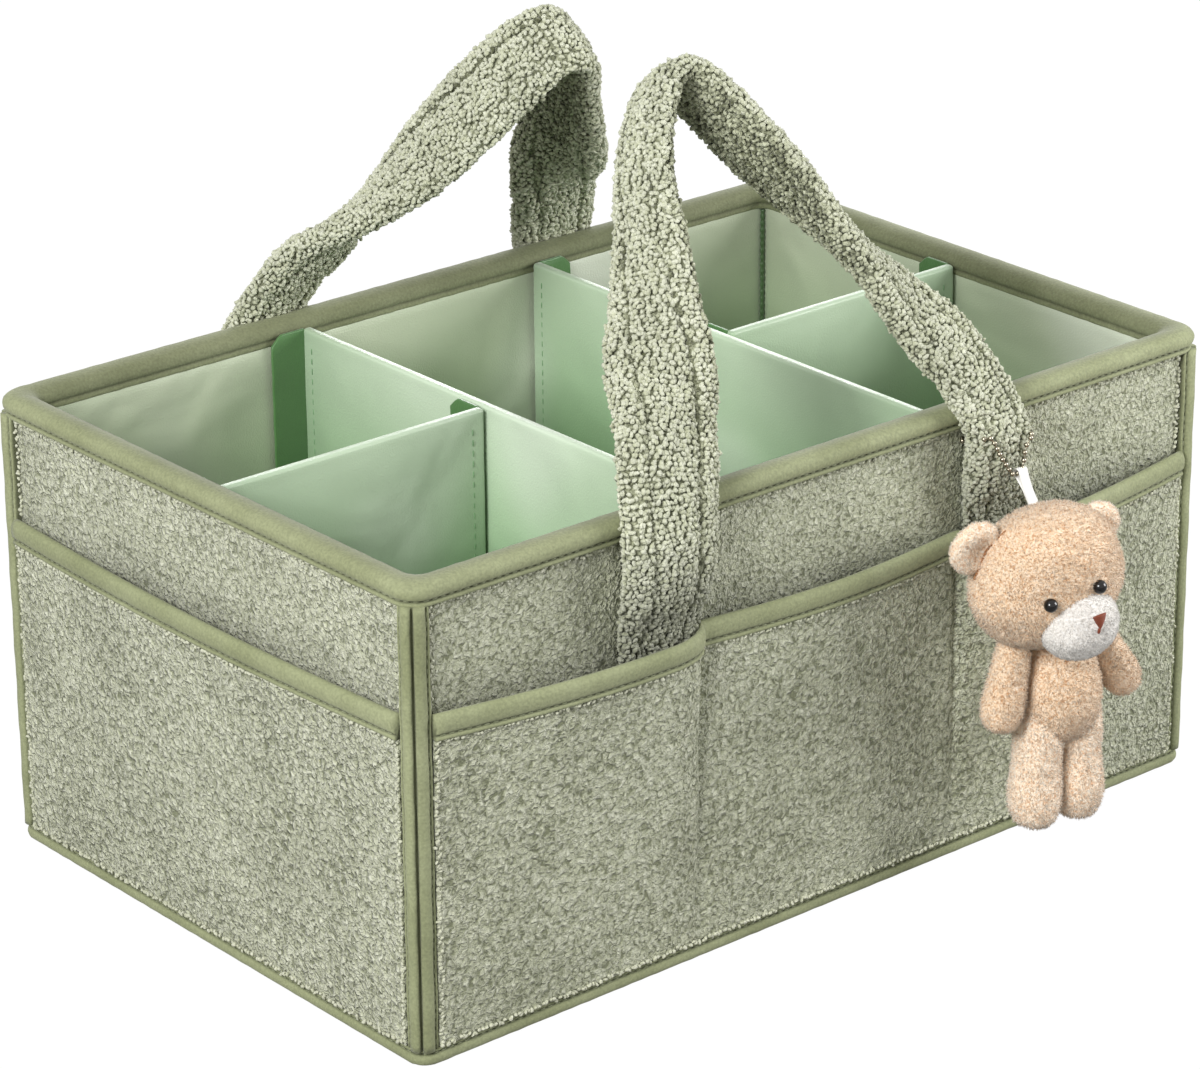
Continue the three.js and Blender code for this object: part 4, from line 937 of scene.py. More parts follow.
def divider_web(name, reach, into_caddy, onto_divider):
    """The board's satin: two faces that crown a little, with a groove where each seam runs."""
    def lay_web(u, v):
        x = (2 * u - 1) * (reach - 0.2)
        return into_caddy(x, np.zeros_like(x), divider_bottom + (divider_top - divider_bottom) * v)

    web = cloth_sheet(name, 48, 56, lay_web, divider_thickness, 1.3, 4, 0)
    points = points_of(web) / MM
    along, through = onto_divider(points)
    height = points[:, 2]
    rise = np.clip((height - divider_bottom) / (divider_top - divider_bottom), 0, 1)
    crown = 0.4 * (1 - (along / reach) ** 6) * np.sin(rise * math.pi) ** 0.4 + 0.16 * lumps(points, 42, reach)
    groove = np.exp(-((np.abs(along) - (reach - 6)) / 1.0) ** 2) * 0.35
    top_groove = np.exp(-((height - (divider_top - 3.6)) / 0.6) ** 2) * 0.25
    on_a_face = np.abs(through) > 1.2
    through = through + np.sign(through) * (crown - groove - top_groove) * on_a_face
    set_points(web, into_caddy(along, through, height) * MM)
    # Painted shade: each face darkens towards its flanges.
    from_flange = np.clip(1 - (reach - np.abs(along)) / 60, 0, 1)
    keep_tone(web, "painted_corner_shade", 0.34 * from_flange ** 1.3)
    return web


def divider_flange(name, side, reach, into_caddy):
    """The sewn strip at an end, turned to one side, with its top corner cut off."""
    def lay_flange(u, v):
        y = divider_thickness / 2 - 0.6 + (flange_width + 0.6) * u
        uncut = flange_width - flange_slope
        slope = np.clip((u * flange_width - uncut) / flange_slope, 0, 1) * flange_slope
        z = divider_bottom + (divider_top - slope - divider_bottom) * v
        x = np.full_like(u, side * (reach - flange_thickness / 2)) + 0.12 * np.sin(z * 0.5) * (u > 0.8)
        return into_caddy(x, y, z)

    flange = cloth_sheet(name, 10, 56, lay_flange, flange_thickness, 0.45, 4, 0)
    # Painted shade: the flange takes the satin's darkest tone.
    keep_tone(flange, "painted_corner_shade", 1.0)
    return flange

# %% Dividers
for divider_name, (reach, place, turn) in dividers.items():
    into_caddy, onto_divider = divider_ways(place, turn)
    web = divider_web(f"{divider_name}_divider_satin", reach, into_caddy, onto_divider)
    flanges = [divider_flange(f"{divider_name}_flange_{side}", side, reach, into_caddy) for side in (-1, 1)]
    web = joined([web] + flanges)
    dress(web, divider_satin, f"{divider_name}_divider", [f"{divider_name}_divider_cover"], "divider_satin")
    print(web.name, len(web.data.polygons), "faces")

# %% [markdown]
# ## Handles
#
# Each handle is one padded strap of coarse, curly fleece: it is sewn on the wall inside a pocket,
# comes out of the pocket's mouth, crosses the rim, bends over in a rounded fold and comes down
# again. The strap follows the solids' route and twist, and adds the small wander and the uneven
# widths of a sewn strap. Its section is a flat oval with a sewn channel on each side of the middle.

# %% Sizes of the handles
strap_width, strap_thickness = 38.0, 13.0
leg_foot, hinge_rise = 98.0, 6.0
hinge_height = caddy_height + hinge_rise
fold_offset, fold_radius = -9.0, 17.0
upright_angle, slanted_angle = math.radians(21), math.radians(30)
upright_pull, slanted_pull = 0.5, 0.56
strap_inset = -layer_gap
hinge_inset = strap_inset - strap_thickness - layer_gap
strap_centre = layer_gap + strap_thickness / 2
fold_thickness_share = 0.84
mitre_slope = math.tan(math.radians(55 + 2))
handles = {
    "front": {"turn": 0.0, "lean": 34.0, "reach": 146.0, "left": -84.0, "right": 75.0},
    "back": {"turn": math.pi, "lean": 39.0, "reach": 142.0, "left": -81.0, "right": 66.0},
}
# Along a leg: how high, how wide, how thick, and how far over from the wall to the rim.
leg_shares = [
    (0, 0.8, 0.24, 0), (0.14, 0.86, 0.36, 0), (0.3, 0.96, 0.46, 0), (0.44, 1, 0.56, 0.04),
    (0.6, 1.04, 0.88, 0.85), (0.72, 1.04, 1, 1), (0.84, 1.04, 1, 1),
]
rim_share = leg_shares[-1][1]
# From the rim to the fold: how far along, and how wide.
arch_shares = {
    ("front", "left"): [(0, 1.1), (0.12, 1.12), (0.24, 1.04), (0.36, 0.88), (0.56, 0.79), (0.68, 0.72),
                        (0.85, 0.72), (1, 0.72)],
    ("front", "right"): [(0, 0.78), (0.25, 0.84), (0.4, 0.88), (0.55, 0.95), (0.7, 0.94), (0.85, 0.86),
                         (1, 0.72)],
    ("back", "left"): [(0, 1.0), (0.25, 1.02), (0.5, 0.95), (0.75, 0.86), (0.9, 0.86), (1, 0.79)],
    ("back", "right"): [(0, 0.93), (0.25, 1.0), (0.5, 1.03), (0.75, 0.94), (0.9, 0.87), (1, 0.79)],
}
# How the sewn strap wanders off the even curve, in millimetres: along the caddy and up.
wander_table = {
    ("front", "left"): [(0, 1.4, 0), (0.2, 1.2, 0), (0.38, 0, 0), (0.56, -0.7, 0), (0.68, -3.2, 0.5),
                        (0.8, -2.8, 0.5), (0.93, -2, 0), (1, -1.5, -0.3)],
    ("front", "right"): [(0, 0, 0), (0.3, -0.4, -0.3), (0.45, -1.8, -0.9), (0.6, -2.6, -1.3),
                         (0.75, -4.2, -2.1), (0.9, -4.0, -1.8), (1, -1.5, -0.3)],
    ("back", "left"): [(0, 1.0, 0), (0.3, 2.6, 0), (0.7, 2.2, 0), (0.82, 0, 0.2), (0.9, -2.0, 0.4),
                       (0.96, -2.0, 0.7), (1, 0, 0.8)],
    ("back", "right"): [(0, 1.4, 1.4), (0.12, 1.2, 1.0), (0.26, -1.0, -1.0), (0.4, -1.8, -1.9),
                        (0.9, -1.2, -1.2), (1, 0, 0.8)],
}

# %% Route of a handle
def bezier(a, b, c, d, share):
    """A point of the curve with these four control points, and the curve's direction there."""
    left = 1 - share
    point = a * left ** 3 + 3 * b * left ** 2 * share + 3 * c * left * share ** 2 + d * share ** 3
    along = 3 * ((b - a) * left ** 2 + 2 * (c - b) * left * share + (d - c) * share ** 2)
    return point, along / np.linalg.norm(along)


def leg_stations(place, sense, aside, at_rim):
    """Stations from the sewn end up to the rim: centre, side, face, width, thickness."""
    pocket_place = math.copysign(pocket_leg_place, place)
    wall_face = tape_proud - layer_gap
    stations = []
    for rise, wide, thick, way in leg_shares:
        height = leg_foot + (hinge_height - layer_gap - leg_foot) * rise
        thickness = strap_thickness * thick
        inner = wall_face + (strap_inset - wall_face) * way
        x = pocket_place + (place + aside - pocket_place) * way
        width = strap_width * wide * (1 + (at_rim / rim_share - 1) * way)
        centre = np.array([x, inner - thickness / 2 - half_width, height])
        stations.append((centre, np.array([sense, 0, 0]), np.array([0, -1.0, 0]), width, thickness))
    return stations


def arch_stations(handle_name, side_name, sense):
    """Stations from the rim up to the fold, turned to how far the handle leans."""
    handle = handles[handle_name]
    place = handle[side_name]
    upright = side_name == "left"
    slant = upright_angle if upright else slanted_angle
    pull = upright_pull if upright else slanted_pull
    side = math.copysign(1, place)
    travel = np.array([-side * math.sin(slant), 0, math.cos(slant)])
    foot = np.array([place, 0, 0]) + travel * ((strap_thickness * mitre_slope + layer_gap) / travel[2])
    fold = np.array([fold_offset, 0, handle["reach"]])
    beside_fold = fold + np.array([side * fold_radius, 0, 0])
    control = (foot, foot + travel * pull * handle["reach"], beside_fold, fold)
    fine = [bezier(*control, t)[0] for t in np.linspace(0, 1, 200)]
    run = run_of(fine)
    lean = math.radians(-handle["lean"])
    hinge = np.array([0, hinge_inset - half_width, hinge_height])
    tip = np.array([[1, 0, 0], [0, math.cos(lean), -math.sin(lean)], [0, math.sin(lean), math.cos(lean)]])
    stations = []
    for climb in np.linspace(0, 1, 27):
        centre, along = bezier(*control, np.interp(climb * run[-1], run, np.linspace(0, 1, 200)))
        along = along * sense
        twist = (1 - (1 - max((climb - 0.08) / 0.92, 0)) ** 2.1) * math.pi / 2
        outside = np.array([-along[2], 0, along[0]])
        face = np.array([0, -math.cos(twist), 0]) + outside * math.sin(twist)
        climbs, asides, lifts = zip(*wander_table[handle_name, side_name])
        aside, lift = (np.interp(climb, climbs, values) for values in (asides, lifts))
        centre = centre + np.array([aside, strap_centre, lift])
        across = np.cross(along, face)
        across = across / np.linalg.norm(across)
        climbs, shares = zip(*arch_shares[handle_name, side_name])
        width = strap_width * np.interp(climb, climbs, shares)
        thickness = strap_thickness * (1 + (fold_thickness_share - 1) * climb ** 4)
        stations.append((hinge + tip @ centre, tip @ across, tip @ face, width, thickness))
    return stations


# %% Strap section and loft
def strap_section(width, thickness, around):
    """Flat oval with a shallow sewn channel on each side of the middle, on both faces."""
    fine = np.linspace(0, 2 * math.pi, 720, endpoint=False)
    across = np.cos(fine)
    dome = np.clip(1 - np.abs(across) ** 3.6, 0, None) ** 0.5
    channel = 1 - 0.34 * np.exp(-((np.abs(across) - 0.5) / 0.085) ** 2)
    through = np.sign(np.sin(fine)) * dome * channel
    points = np.stack([across * width / 2, through * thickness / 2], axis=1)
    closed = np.vstack([points, points[:1]])
    run = run_of(closed)
    at = np.arange(around) / around * run[-1]
    return np.interp(at, run, closed[:, 0]), np.interp(at, run, closed[:, 1])


def resampled(stations, spacing):
    """Stations at an even spacing on a smooth line through the given ones."""
    centres = np.array([s[0] for s in stations])
    run = run_of(centres)
    count = int(run[-1] / spacing)
    made = []
    for distance in np.linspace(0, run[-1], count):
        k = min(max(int(np.searchsorted(run, distance)) - 1, 0), len(stations) - 2)
        gap = run[k + 1] - run[k]
        t = (distance - run[k]) / gap
        before, after = max(k - 1, 0), min(k + 2, len(stations) - 1)
        a, b = centres[k], centres[k + 1]
        slope_a = (b - centres[before]) / (run[k + 1] - run[before]) * gap
        slope_b = (centres[after] - a) / (run[after] - run[k]) * gap
        centre = smooth_step(a, b, slope_a, slope_b, t)
        ease = t * t * (3 - 2 * t)
        across, face = (stations[k][j] * (1 - ease) + stations[k + 1][j] * ease for j in (1, 2))
        across = across / np.linalg.norm(across)
        face = face - across * (face @ across)
        face = face / np.linalg.norm(face)
        width, thickness = (stations[k][j] * (1 - ease) + stations[k + 1][j] * ease for j in (3, 4))
        made.append((centre, across, face, width, thickness))
    return made


def rings_along(stations, around, turn_it, grow=0.0):
    """Rings of points of the strap, one at each station."""
    rings = []
    for centre, across, face, width, thickness in stations:
        out, through = strap_section(width + grow, thickness + grow, around)
        rings.append((centre + np.outer(out, across) + np.outer(through, face)) @ turn_it.T)
    return rings


# %% Tufts
tuft_points, tuft_faces = round_form(bpy.ops.mesh.primitive_ico_sphere_add, subdivisions=1)
tuft_faces = np.array(tuft_faces)


def tufts(name, roots, normals, size, seed, painted_shade=0.0):
    """Small lumpy curls on a skin, each with its own size, turn and tone, as one mesh.

    The painted shade says how much darker each curl is, one value for each root.
    """
    rng = np.random.default_rng(seed)
    count = len(roots)
    aside = np.cross(normals, rng.normal(size=(count, 3)))
    aside /= np.linalg.norm(aside, axis=1)[:, None]
    other = np.cross(normals, aside)
    long = size * (1.0 + 0.35 * rng.random(count))
    wide = size * (0.72 + 0.25 * rng.random(count))
    tall = size * (0.75 + 0.35 * rng.random(count))
    bumpy = 1 + 0.16 * rng.normal(size=(count, len(tuft_points))).clip(-1.6, 1.6)
    local = tuft_points[None] * bumpy[:, :, None]
    lean = 0.35 * rng.normal(size=(count, 1)) * local[:, :, 2]
    centre = roots + normals * (size * (0.05 + 0.5 * rng.random(count)))[:, None]
    points = (
        centre[:, None] + aside[:, None] * (local[:, :, 0] * long[:, None] + lean * wide[:, None])[:, :, None]
        + other[:, None] * (local[:, :, 1] * wide[:, None])[:, :, None]
        + normals[:, None] * (local[:, :, 2] * tall[:, None])[:, :, None]
    )
    faces = (tuft_faces[None] + (np.arange(count) * len(tuft_points))[:, None, None]).reshape(-1, 3)
    obj = many_triangles(name, points.reshape(-1, 3), faces)
    own = 0.56 + 0.16 * rng.normal(size=(count, 1)) - np.broadcast_to(painted_shade, count)[:, None]
    # Random tone for each curl, less its painted shade, plus painted light towards its tip.
    keep_tone(obj, "curl_tone_and_shade", np.clip(own + 0.34 * local[:, :, 2], 0, 1).ravel())
    return obj


def strap_piece(obj, nodes):
    """Finishes what bends with a handle, from the still wall to the moving arch."""
    smooth_coat(obj, handle_fleece)
    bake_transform(obj)
    if nodes:
        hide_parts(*nodes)

# %% Straps, their curls and their inner webbing
# The curls get painted shade on the arch's underside, from this height and over so many millimetres.
underside_shade, shade_from, shade_over = 0.62, 188, 30
webbing_pieces = {}
for handle_name, handle in handles.items():
    left_leg, right_leg = (
        leg_stations(handle[side], sense, wander_table[handle_name, side][0][1],
                     arch_shares[handle_name, side][0][1])
        for side, sense in (("left", 1.0), ("right", -1.0))
    )
    rise = arch_stations(handle_name, "left", 1)
    fall = arch_stations(handle_name, "right", -1)
    route = left_leg + rise + fall[-2::-1] + right_leg[::-1]
    spin = handle["turn"]
    turn_it = np.array([[math.cos(spin), -math.sin(spin), 0], [math.sin(spin), math.cos(spin), 0], [0, 0, 1]])
    base = carried(f"{handle_name}_handle_strap", rings_along(resampled(route, 2.4), 48, turn_it, -3.4))
    # Painted shade: the strap's skin between the curls is dark.
    keep_tone(base, "curl_tone_and_shade", 0.22)
    strap_solids = [f"{handle_name}_handle_{part}" for part in ("left_leg", "right_leg", "sleeve")]
    strap_piece(base, strap_solids)
    rng = np.random.default_rng(7)
    roots, normals, sides, painted_shades = [], [], [], []
    arch_middle = np.mean([station[0] for station in rise + fall], axis=0) @ turn_it.T
    dense = resampled(route, 1.6)
    for k, station in enumerate(dense):
        around = int(2 * (station[3] + station[4] * 0.6) / 1.8)
        ring = rings_along([station], around * 4, turn_it, -2.8)[0]
        shift = rng.integers(0, 4, around)
        picked = (np.arange(around) * 4 + shift + 2 * (k % 2)) % (around * 4)
        before, after = ring[(picked - 2) % len(ring)], ring[(picked + 2) % len(ring)]
        along = (dense[min(k + 1, len(dense) - 1)][0] - dense[max(k - 1, 0)][0]) @ turn_it.T
        normal = np.cross(after - before, along)
        normal /= np.linalg.norm(normal, axis=1)[:, None]
        outward = ring[picked] - station[0] @ turn_it.T
        normal *= np.sign((normal * outward).sum(axis=1))[:, None]
        roots.append(ring[picked] + rng.normal(size=(around, 3)) * 0.25)
        normals.append(normal)
        sides.append(np.full(around, k < len(dense) / 2))
        # Painted shade on the faces that look into the arch, above the rim.
        inward = arch_middle - station[0] @ turn_it.T
        under = np.clip(normal @ (inward / np.linalg.norm(inward)), 0, 1)
        painted_shades.append(underside_shade * under * np.clip((station[0][2] - shade_from) / shade_over, 0, 1))
    roots, normals, sides, painted_shades = (np.concatenate(values) for values in (roots, normals, sides, painted_shades))
    for label, chosen in (("left", sides), ("right", ~sides)):
        curl_name = f"{handle_name}_handle_{label}_curls"
        curl = tufts(curl_name, roots[chosen], normals[chosen], 1.12, 5, painted_shades[chosen])
        strap_piece(curl, [])
        print(curl.name, int(chosen.sum()), "curls")
    web = []
    for centre, across, face, _, _ in resampled(rise + fall[-2::-1], 5.0):
        half = np.array([[-1, -1], [1, -1], [1, 1], [-1, 1]]) * [8.5, 1.6]
        web.append((centre + np.outer(half[:, 0], across) + np.outer(half[:, 1], face)) @ turn_it.T)
    webbing_pieces[handle_name] = carried(f"{handle_name}_handle_webbing", web)

# %% Curls that creep over the edges of the tapes
rng = np.random.default_rng(3)
roots, normals = [], []
for wall in walls.values():
    reach = pocket_plan(wall)[0][-1]
    out = on_wall(wall, np.zeros(1), np.zeros(1), 0.0)[0] * [1, 1, 0]
    out = out / np.linalg.norm(out)
    along = np.arange(-reach + 0.8, reach - 0.8, 1.45)
    height = np.arange(fleece_bottom + 1.5, lip_bottom - 2, 1.45)
    low = mouth_height(wall, along) - pocket_tape_height - 0.9
    rows = [
        (along, pocket_face(wall, along, low) - 2.6, low),
        (along, np.full_like(along, tape_proud - 0.55), np.full_like(along, lip_bottom - 1.6)),
        (along, pocket_face(wall, along, np.full_like(along, 7.2)) - 2.5, np.full_like(along, 7.2)),
    ]
    for end in (-1, 1):
        side = np.full_like(height, end * (reach - 0.8))
        over = height > pocket_top + 1
        under = height < pocket_top - pocket_tape_height - 2
        rows.append((side[over], np.full(over.sum(), tape_proud), height[over]))
        rows.append((side[under], pocket_face(wall, side[under], height[under]) - 2.0, height[under]))
    for run, inset, level in rows:
        shaken = run + 0.5 * rng.normal(size=len(run)), level + 0.35 * rng.normal(size=len(run))
        roots.append(on_wall(wall, shaken[0], inset, shaken[1]))
        normals.append(np.tile(out, (len(run), 1)))
edge_curls = tufts("tape_edge_curls", np.concatenate(roots), np.concatenate(normals), 0.8, 9)
dress(edge_curls, edge_fleece, "caddy", (), "fleece")
print(edge_curls.name, sum(len(r) for r in roots), "curls")

# %% [markdown]
# ## Plush bear
#
# The bear is soft and short-haired. Each part is a profile that is spun round, flattened from
# front to back and turned to its place, as the solids are, but with far more points. The hairs
# are real: thousands of tiny cones that stand off the skin and lean in random directions, so the
# outline is furry and not cut out.

# %% Forms of the bear
head_size, head_rise, head_forward = np.array([60.0, 45.0, 55.0]), 24.0, 2.0
half_head = head_size / 2
head_turn, head_nod, head_tilt = math.radians(-13), math.radians(9), math.radians(-9)
body_side, body_turn = 7.0, math.radians(-12)
head_shares = [(0, 0), (0.03, 0.36), (0.16, 0.76), (0.4, 0.97), (0.6, 1), (0.82, 0.8), (0.96, 0.4), (1, 0)]
body_shares = [
    (0, 0), (0.02, 0.44), (0.14, 0.66), (0.4, 0.92), (0.6, 1), (0.78, 0.9), (0.92, 0.62), (0.99, 0.3), (1, 0),
]
limb_shares = [(0, 0), (0.03, 0.4), (0.16, 0.72), (0.45, 0.86), (0.76, 1), (0.93, 0.8), (0.99, 0.42), (1, 0)]
leg_form_shares = [
    (0, 0), (0.03, 0.5), (0.12, 0.84), (0.3, 0.94), (0.5, 0.9), (0.78, 1), (0.93, 0.8), (0.99, 0.42), (1, 0),
]
round_shares = [(0, 0), (0.03, 0.34), (0.2, 0.8), (0.5, 1), (0.8, 0.8), (0.97, 0.34), (1, 0)]

# %% Helpers: spun forms and their seats
def turned(axis, angle):
    return np.array(Matrix.Rotation(angle, 3, axis))


def smooth_profile(shares, count):
    """Points on the smooth curve through a profile, evenly spaced along it."""
    given = np.array(shares, float)
    padded_shares = np.vstack([2 * given[0] - given[1], given, 2 * given[-1] - given[-2]])
    fine = []
    for k in range(1, len(padded_shares) - 2):
        p0, p1, p2, p3 = padded_shares[k - 1:k + 3]
        for t in np.linspace(0, 1, 24, endpoint=False):
            fine.append(0.5 * (2 * p1 + (p2 - p0) * t + (2 * p0 - 5 * p1 + 4 * p2 - p3) * t ** 2
                               + (3 * p1 - p0 - 3 * p2 + p3) * t ** 3))
    fine = np.array(fine + [given[-1]])
    run = run_of(fine)
    at = np.linspace(0, run[-1], count)
    return np.stack([np.interp(at, run, fine[:, 0]), np.interp(at, run, fine[:, 1])], axis=1)


def plush_form(name, length, width, depth, shares, place, sides=56, rows=44):
    """A spun and flattened form that hangs from its top, carried to its place by place(points)."""
    profile = smooth_profile(shares, rows)
    points, faces = [(0, 0, 0)], []
    for down, out in profile[1:-1]:
        half_x, half_y = (max(out, 0) * size / 2 for size in (width, depth))
        for k in range(sides):
            angle = 2 * math.pi * k / sides
            points.append((half_x * math.cos(angle), half_y * math.sin(angle), -down * length))
    points.append((0, 0, -length))
    last = len(points) - 1
    for k in range(sides):
        nxt = (k + 1) % sides
        faces.append((0, 1 + k, 1 + nxt))
        faces.append((last, last - sides + nxt, last - sides + k))
    for row in range(rows - 3):
        for k in range(sides):
            nxt = (k + 1) % sides
            a, b = 1 + row * sides, 1 + (row + 1) * sides
            faces.append((a + k, b + k, b + nxt, a + nxt))
    return closed_mesh(name, place(np.array(points, float)), faces)


def seat_on_head(points):
    points = points @ (turned("Z", head_turn) @ turned("X", head_nod)).T
    points = points + np.array([0, -head_forward, head_rise])
    return points @ turned("Y", head_tilt).T


def seat_on_body(points):
    return points @ turned("Z", body_turn).T + np.array([body_side, 0, 0])


# %% Where the bear hangs
bear_place, bear_stand_off = 80.0, 1.2
chain_low = 155.0
solid_gape = 12.5
ribbon_drop = 15.0
ribbon_seat_shares = (0.27, 0.76, 0.43)
seat_point = seat_on_head(np.array([ribbon_seat_shares * half_head]))[0]
pocket_front = half_width - tape_proud + layer_gap + solid_gape + pocket_thickness + 0.9
hang = np.array([
    bear_place - seat_point[0],
    head_forward - half_head[1] - bear_stand_off - pocket_front,
    chain_low - ribbon_drop - seat_point[2],
])
print("the bear's neck is at", [round(float(v), 1) for v in hang])

# %% Plush finishes
def plush_finish(name, tones):
    """Short soft pile under the hairs."""
    finish, tree, place = blank(name)
    pile = effect(tree, curls, place, 1100.0, Wander=1.2)
    patch = stretch(tree, pile["Patch"], 0.3, 0.7, 0.93, 1.04)
    # Painted shade: the pile's hollows are darker than its tips.
    varied = times(tree, three_tones(tree, pile["Height"], *tones), patch)
    coat(tree, varied, 0.9, pile["Height"], 0.6, 0.0004,
         {"Sheen Weight": 0.5, "Sheen Roughness": 0.5, "Specular IOR Level": 0.15})
    return finish


bear_plush = plush_finish("bear_plush", ("C7966C", "F0D3B1", "FBE8D3"))
pale_plush = plush_finish("bear_pale_plush", ("E0B690", "FEE6CA", "FFF6E8"))
muzzle_plush = plush_finish("muzzle_plush", ("D4CEC6", "EAE5DE", "F6F3EF"))

# %% Hairs
def hairs(skin, name, per_square_mm, length, lean, seed):
    """Tiny three-sided cones on a skin, as one mesh."""
    rng = np.random.default_rng(seed)
    mesh = skin.data
    mesh.calc_loop_triangles()
    points = points_of(skin) / MM
    corners = np.array([t.vertices[:] for t in mesh.loop_triangles])
    a, b, c = points[corners[:, 0]], points[corners[:, 1]], points[corners[:, 2]]
    cross = np.cross(b - a, c - a)
    area = np.linalg.norm(cross, axis=1) / 2
    count = int(area.sum() * per_square_mm)
    chosen = rng.choice(len(area), count, p=area / area.sum())
    r1, r2 = np.sqrt(rng.random(count)), rng.random(count)
    shares = (1 - r1, r1 * (1 - r2), r1 * r2)
    root = sum(corner[chosen] * share[:, None] for corner, share in zip((a, b, c), shares))
    normal = cross[chosen] / (2 * area[chosen])[:, None]
    sway = rng.normal(size=(count, 3)) * lean + np.array([0, 0, -0.25])
    tip_way = normal + sway
    tip_way /= np.linalg.norm(tip_way, axis=1)[:, None]
    helper = np.cross(tip_way, rng.normal(size=(count, 3)))
    helper /= np.linalg.norm(helper, axis=1)[:, None]
    second = np.cross(tip_way, helper)
    thick = 0.16 + 0.08 * rng.random(count)
    long = length * (0.6 + 0.6 * rng.random(count))
    foot = []
    for angle in (0, 2 * math.pi / 3, 4 * math.pi / 3):
        out = helper * math.cos(angle) + second * math.sin(angle)
        foot.append(root + out * thick[:, None] - normal * 0.15)
    tip = root + tip_way * long[:, None]
    base = np.arange(count) * 4
    faces = np.concatenate([np.stack([base + i, base + j, base + 3], 1) for i, j in ((0, 1), (1, 2), (2, 0))])
    return many_triangles(name, np.stack([*foot, tip], axis=1).reshape(-1, 3), faces)


def plush_piece(name, form, finish, node, density=2.6, length=1.3, seed=1):
    """Skin and hairs of one part of the bear."""
    skin = points_of(form) / MM
    normal = np.empty(skin.size, np.float32)
    form.data.vertices.foreach_get("normal", normal)
    swell = 0.3 * lumps(skin, 9.0, seed) + 0.22 * lumps(skin, 4.5, seed + 2)
    set_points(form, (skin + normal.reshape(-1, 3) * swell[:, None]) * MM)
    fur = hairs(form, f"{name}_hair", density, length, 0.45, seed)
    form = joined([form, fur])
    dress(form, finish, "bear", [node], "muzzle" if "muzzle" in name else "plush")


# %% Bear parts
def at_bear(seat_it, shift=(0, 0, 0), splay=0.0):
    """A function that splays and shifts a part, seats it on the head or body, and hangs it."""
    def place(points):
        points = points @ turned("Y", splay).T + np.array(shift, float)
        return seat_it(points) + hang
    return place


shrink = 1.0
head_width, head_depth, head_height = head_size - shrink
head = plush_form("bear_head_plush", head_height, head_width, head_depth, head_shares,
                  at_bear(seat_on_head, (0, 0, head_height / 2)), 72, 56)
torso = plush_form("bear_body_plush", 46 - shrink, 32.5 - shrink, 31 - shrink, body_shares,
                   at_bear(seat_on_body))
legs = [
    plush_form(f"bear_{label}_leg_plush", 53, 20.0 - shrink, 22.0 - shrink, leg_form_shares,
               at_bear(seat_on_body, (side * 7.8, 0, -25.5), -side * math.radians(2)))
    for label, side in (("left", -1), ("right", 1))
]
arms = [
    plush_form("bear_left_arm_plush", 41 - shrink, 17.0 - shrink, 16.5 - shrink, limb_shares,
               at_bear(seat_on_body, (-19.4, -0.6, 3.5), math.radians(10))),
    plush_form("bear_right_arm_plush", 40 - shrink, 15.5 - shrink, 15.5 - shrink, limb_shares,
               at_bear(seat_on_body, (11.5, 0, 2), -math.radians(30))),
]
print("bear forms:", head.name, torso.name, len(legs), len(arms))

# %% Ears, muzzle and the bear's skins
def cupped(points):
    """Hollows the front of an ear, as its inner side is sewn in and sinks."""
    off = np.hypot(points[:, 0], points[:, 2] + 11)
    sink = 3.4 * np.exp(-(off / 6.0) ** 2) * (points[:, 1] < 0)
    return points + np.stack([np.zeros_like(sink), sink, np.zeros_like(sink)], axis=1)


def ear_place(across, rise):
    seat_it = at_bear(seat_on_head, (across, 6, rise))
    return lambda points: seat_it(cupped(points))


ears = [
    plush_form(f"bear_{label}_ear_plush", 22 - shrink, 22 - shrink, 11 - shrink, round_shares,
               ear_place(across, rise), 40, 30)
    for label, across, rise in (("left", -26, 29), ("right", 24.6, 18.5))
]
muzzle_size, muzzle_aside, muzzle_sunk, muzzle_top = 27.0, 1.6, 3.6, 3.0
muzzle_place = (muzzle_aside, muzzle_sunk - half_head[1], muzzle_top)
muzzle = plush_form("bear_muzzle_plush", muzzle_size - 0.6, 31 - 0.6, muzzle_size - 0.6, round_shares,
                    at_bear(seat_on_head, muzzle_place), 56, 40)
plush_piece("bear_head", head, bear_plush, "bear_head", seed=11)
plush_piece("bear_body", torso, bear_plush, "bear_body", seed=12)
for label, leg, arm, ear, seed in zip(("left", "right"), legs, arms, ears, (20, 30)):
    plush_piece(f"bear_{label}_leg", leg, pale_plush, f"bear_{label}_leg", seed=seed)
    plush_piece(f"bear_{label}_arm", arm, bear_plush, f"bear_{label}_arm", seed=seed + 1)
    plush_piece(f"bear_{label}_ear", ear, pale_plush, f"bear_{label}_ear", length=1.0, seed=seed + 2)
plush_piece("bear_muzzle", muzzle, muzzle_plush, "bear_muzzle", density=4.0, length=0.7, seed=41)
print("bear skins and hair ready")

# %% [markdown]
# ## Face
#
# The nose is embroidered: a three-cornered patch of flat satin stitches, side by side, with one
# upright stitch under it. The eyes are black beads, sewn close to the muzzle.

